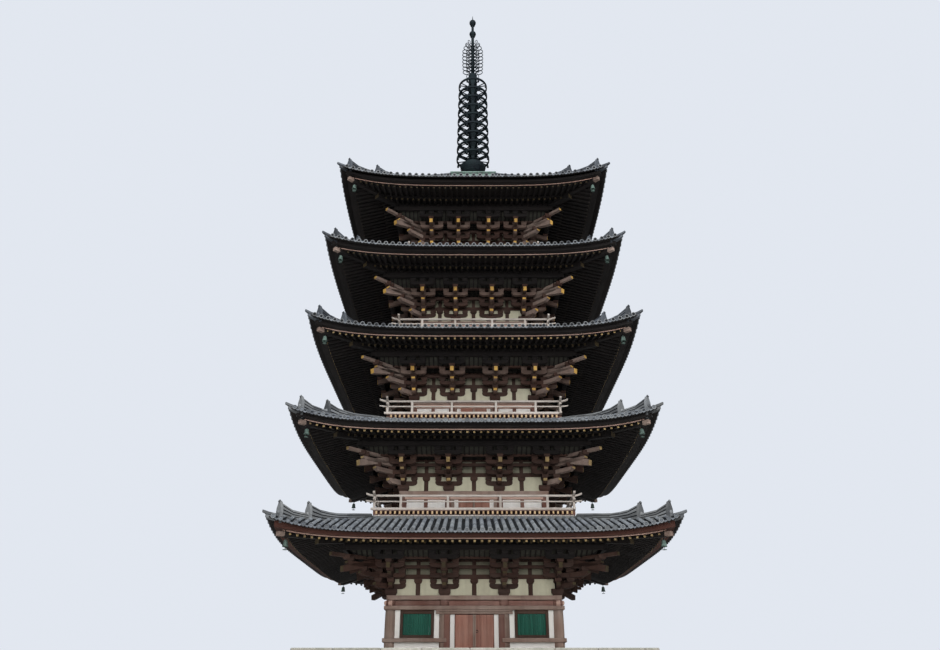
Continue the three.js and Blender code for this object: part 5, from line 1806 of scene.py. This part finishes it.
# %% Basin, bowl and lotus
BASIN_LOW, BASIN_HALF = 25.47, 1.21
basin = Parts(BASIN_HALF, BASIN_LOW)
for past, short, across, heights, edge in (
    (0.0, 0.12, (-0.12, 0.0), (0.0, 0.34), 0.01),
    (0.06, 0.14, (-0.14, 0.06), (0.34, 0.445), 0.02),
    (0.03, 0.12, (-0.12, 0.03), (0.0, 0.05), 0.01),
):
    along = (-BASIN_HALF - past, BASIN_HALF - short)
    timber(basin, along, across, heights, "green_bronze", "x", edge)
basin = basin.four_sides()
timber(basin, (-1.15, 1.15), (-2.36, -0.06), (0.30, 0.38), "green_bronze", "x")
bowl = [(0.70, 0.36), (0.69, 0.50), (0.63, 0.53), (0.60, 0.70), (0.55, 0.86), (0.45, 1.00), (0.30, 1.05)]
lotus = [(0.30, 1.03), (0.42, 1.08), (0.54, 1.20), (0.63, 1.36), (0.70, 1.50)]
lotus += [(0.74, 1.64), (0.72, 1.71), (0.62, 1.68), (0.26, 1.60)]
turned(basin, (0, 0, BASIN_LOW), bowl, 32, "green_bronze")
turned(basin, (0, 0, BASIN_LOW), lotus, 32, "dark_bronze")
for radius, band in ((0.55, 1.23), (0.66, 1.44)):
    lip = [(radius, band - 0.02), (radius + 0.03, band), (radius, band + 0.02)]
    turned(basin, (0, 0, BASIN_LOW), lip, 32, "dark_bronze", ends=False)
basin.make("dew_basin_and_lotus", "bronze", ["spire_base"])

# %% [markdown]
# The nine rings grow a little smaller upward. Each is a thin band on a hub, held by eight pairs of
# spokes that spread outward, and a small bell hangs between the ends of each pair.

# %% One ring
SPOKES = 8


def ring_bell(parts, way, reach, height):
    bell = [(0.018, -0.05), (0.045, -0.10), (0.054, -0.19), (0.070, -0.25)]
    turned(parts, way * reach + np.array((0, 0, height)), bell, 8, "dark_bronze")


def ring_spoke(parts, way, beside, radius, height, twist):
    """A thin bar from the hub to the band, whose outer end is shifted sideways."""
    corners = []
    for side in (-1, 1):
        for reach, shift in ((0.25, 0.0), (radius - 0.03, twist)):
            for up in (-0.022, 0.022):
                level = np.array((0, 0, height + up))
                corners.append(way * reach + beside * (shift + side * 0.022) + level)
    slab(parts, corners, "dark_bronze")


def spire_ring(parts, radius, height):
    inside = radius - 0.07
    band = [(inside, -0.06), (radius, -0.06), (radius, 0.06), (inside, 0.06), (inside, -0.06)]
    turned(parts, (0, 0, height), band, 40, "dark_bronze", ends=False)
    hub = [(0.26, -0.10), (0.31, -0.08), (0.31, 0.08), (0.26, 0.10)]
    turned(parts, (0, 0, height), hub, 20, "dark_bronze")
    for spoke in range(SPOKES):
        angle = (spoke + 0.5) * 2 * math.pi / SPOKES
        way = np.array((math.cos(angle), math.sin(angle), 0))
        beside = np.array((-math.sin(angle), math.cos(angle), 0))
        ring_bell(parts, way, radius - 0.02, height)
        for twist in (-0.12, 0.12):
            ring_spoke(parts, way, beside, radius, height, twist)


print("A ring has", 2 * SPOKES, "spokes and", SPOKES, "bells")

# %% [markdown]
# A sleeve of bronze holds the stack together. The rings are spaced evenly along it.

# %% The nine rings
RING_COUNT = 9
RING_LOW, RING_HIGH = 27.69, 33.20
rings = Parts()
turned(rings, (0, 0, 0), [(0.26, 26.9), (0.26, 34.2), (0.12, 34.25)], 20, "dark_bronze")
for number, height in enumerate(np.linspace(RING_LOW, RING_HIGH, RING_COUNT)):
    spire_ring(rings, 0.96 - 0.09 * number / (RING_COUNT - 1), height)
rings.make("nine_rings", "bronze", ["spire_rings"])

# %% [markdown]
# The flame is cast as open scrollwork in eight leaves, set in a star. One leaf is a family of curling
# tongues. A tongue is a strip along a curled path, thinner toward its tip, filled with short planks.

# %% A tongue of flame
CURL = [(0.10, 0.00), (0.45, -0.02), (0.82, 0.08), (1.00, 0.28), (0.98, 0.50)]
CURL += [(0.80, 0.64), (0.58, 0.60), (0.50, 0.44), (0.64, 0.34)]
SMALL_CURL = [(0.08, 0.10), (0.30, 0.20), (0.42, 0.38), (0.34, 0.56), (0.18, 0.58), (0.16, 0.44)]


def tongue(parts, way, foot, reach, tall, path, width):
    places = np.array(path) * (reach, tall)
    course = np.gradient(places, axis=0)
    course /= np.linalg.norm(course, axis=1)[:, None]
    aside = np.stack((-course[:, 1], course[:, 0]), axis=1)
    half = (width * (1 - 0.5 * np.linspace(0, 1, len(places)) ** 2))[:, None] / 2
    outline = [tuple(p) for p in places + aside * half] + [tuple(p) for p in (places - aside * half)[::-1]]
    count = len(places)
    for i in range(count - 1):
        strip = [outline[i], outline[i + 1], outline[2 * count - 2 - i], outline[2 * count - 1 - i]]
        plank(parts, strip, (0, 0, foot), way, UPRIGHT, 0.03, "dark_bronze")


print("A large tongue has", len(CURL) - 1, "planks and a small one", len(SMALL_CURL) - 1)

# %% [markdown]
# Four leaves carry large and small curls. The four between them are lighter, with fewer tongues, so the
# flame stays open to the sky.

# %% Flame
FLAME_LOW, FLAME_HIGH, FLAME_HALF = 34.30, 37.13, 0.64
TONGUE_TALL, TONGUE_WIDTH = 0.56, 0.045


def flame_leaf(parts, way, tiers, large, wide, curls):
    for tier in range(tiers):
        share = tier / (tiers - 1)
        foot = FLAME_LOW + (FLAME_HIGH - FLAME_LOW - 0.50) * share
        swell = 0.94 + 0.06 * math.sin(math.pi * share)
        reach = FLAME_HALF * swell * (1 - 0.25 * max(0, share - 0.8) / 0.2)
        for path in curls:
            tongue(parts, way, foot, reach * large, TONGUE_TALL, path, wide)


finial = Parts()
turned(finial, (0, 0, 0), [(0.11, 34.15), (0.09, 37.1), (0.07, 38.9), (0.04, 39.0)], 16, "dark_bronze")
for leaf in range(8):
    way = (math.cos(leaf * math.pi / 4), math.sin(leaf * math.pi / 4), 0)
    if leaf % 2:
        flame_leaf(finial, way, 6, 0.9, 0.03, (CURL,))
    else:
        flame_leaf(finial, way, 9, 1.0, TONGUE_WIDTH, (CURL, SMALL_CURL))
print("The flame stands from", FLAME_LOW, "to", FLAME_HIGH, "m")

# %% [markdown]
# Over the flame two jewels sit on the rod, each with a small collar, and a pin ends the tower. A jewel
# is a turned half circle.

# %% Jewels and pin
for height in (37.75, 38.74):
    ball = [(0.21 * math.sin(a), -0.21 * math.cos(a)) for a in np.linspace(0.1, math.pi - 0.1, 11)]
    turned(finial, (0, 0, height), ball, 24, "dark_bronze")
    turned(finial, (0, 0, height), [(0.13, -0.26), (0.15, -0.22), (0.13, -0.18)], 20, "dark_bronze")
turned(finial, (0, 0, 0), [(0.035, 38.9), (0.012, 39.345)], 10, "dark_bronze")
finial.make("flame_and_jewels", "bronze", ["spire_finial"])

# %% [markdown]
# ## Ground and light
# The ground is a plain pale floor, one face a little below the podium. It is part of the stage and not of
# the tower.

# %% Ground
rim = [(-60, -30), (60, -30), (60, 60), (-60, 60)]
ground_mesh = bpy.data.meshes.new("ground")
ground_mesh.from_pydata([(x, y, -0.002) for x, y in rim], [], [(0, 1, 2, 3)])
ground_floor = bpy.data.objects.new("ground", ground_mesh)
bpy.context.scene.collection.objects.link(ground_floor)
tree, shader = start_finish("pale_ground")
shader.inputs["Base Color"].default_value = (0.42, 0.42, 0.41, 1)
shader.inputs["Roughness"].default_value = 0.95
ground_mesh.materials.append(FINISHES["pale_ground"])
print("The ground measures 120 by 90 m")

# %% [markdown]
# The light is that of a bright overcast day. The sky looks bright to the camera, but lights the tower
# only a little, so that the underside of each eave stays in shade.

# %% Sky
SKY_GLOW = 0.30
bpy.context.scene.view_settings.view_transform = "Standard"
world = bpy.data.worlds.new("sky")
bpy.context.scene.world = world
world.use_nodes = True
sky_tree = world.node_tree
background = sky_tree.nodes["Background"]
background.inputs["Color"].default_value = (0.76, 0.80, 0.87, 1)
seen = sky_tree.nodes.new("ShaderNodeLightPath").outputs["Is Camera Ray"]
sky_tree.links.new(spread(sky_tree, seen, 0, 1, SKY_GLOW, 1.0), background.inputs["Strength"])
print("The sky lights the tower at", SKY_GLOW, "of what the camera sees")

# %% [markdown]
# The main light is a large soft one from high in front. Others stand to the right and at the back, and a
# low one reaches the white walls under the deep eaves.

# %% Lamps
def soft_light(name, place, aim, size, power):
    light = bpy.data.lights.new(name, "AREA")
    light.size, light.energy = size, power
    lamp = bpy.data.objects.new(name, light)
    lamp.location = place
    lamp.rotation_euler = (Vector(aim) - Vector(place)).to_track_quat("-Z", "Y").to_euler()
    bpy.context.scene.collection.objects.link(lamp)


soft_light("key", (-7, -48, 60), (0, 0, 18), 30, 58000)
soft_light("fill", (45, -40, 35), (0, 0, 15), 30, 12000)
soft_light("low_front", (0, -80, 14), (0, 0, 8), 50, 33000)
soft_light("back", (-10, 60, 55), (0, 0, 15), 40, 45000)
print("Lamps:", [light.name for light in bpy.data.lights])
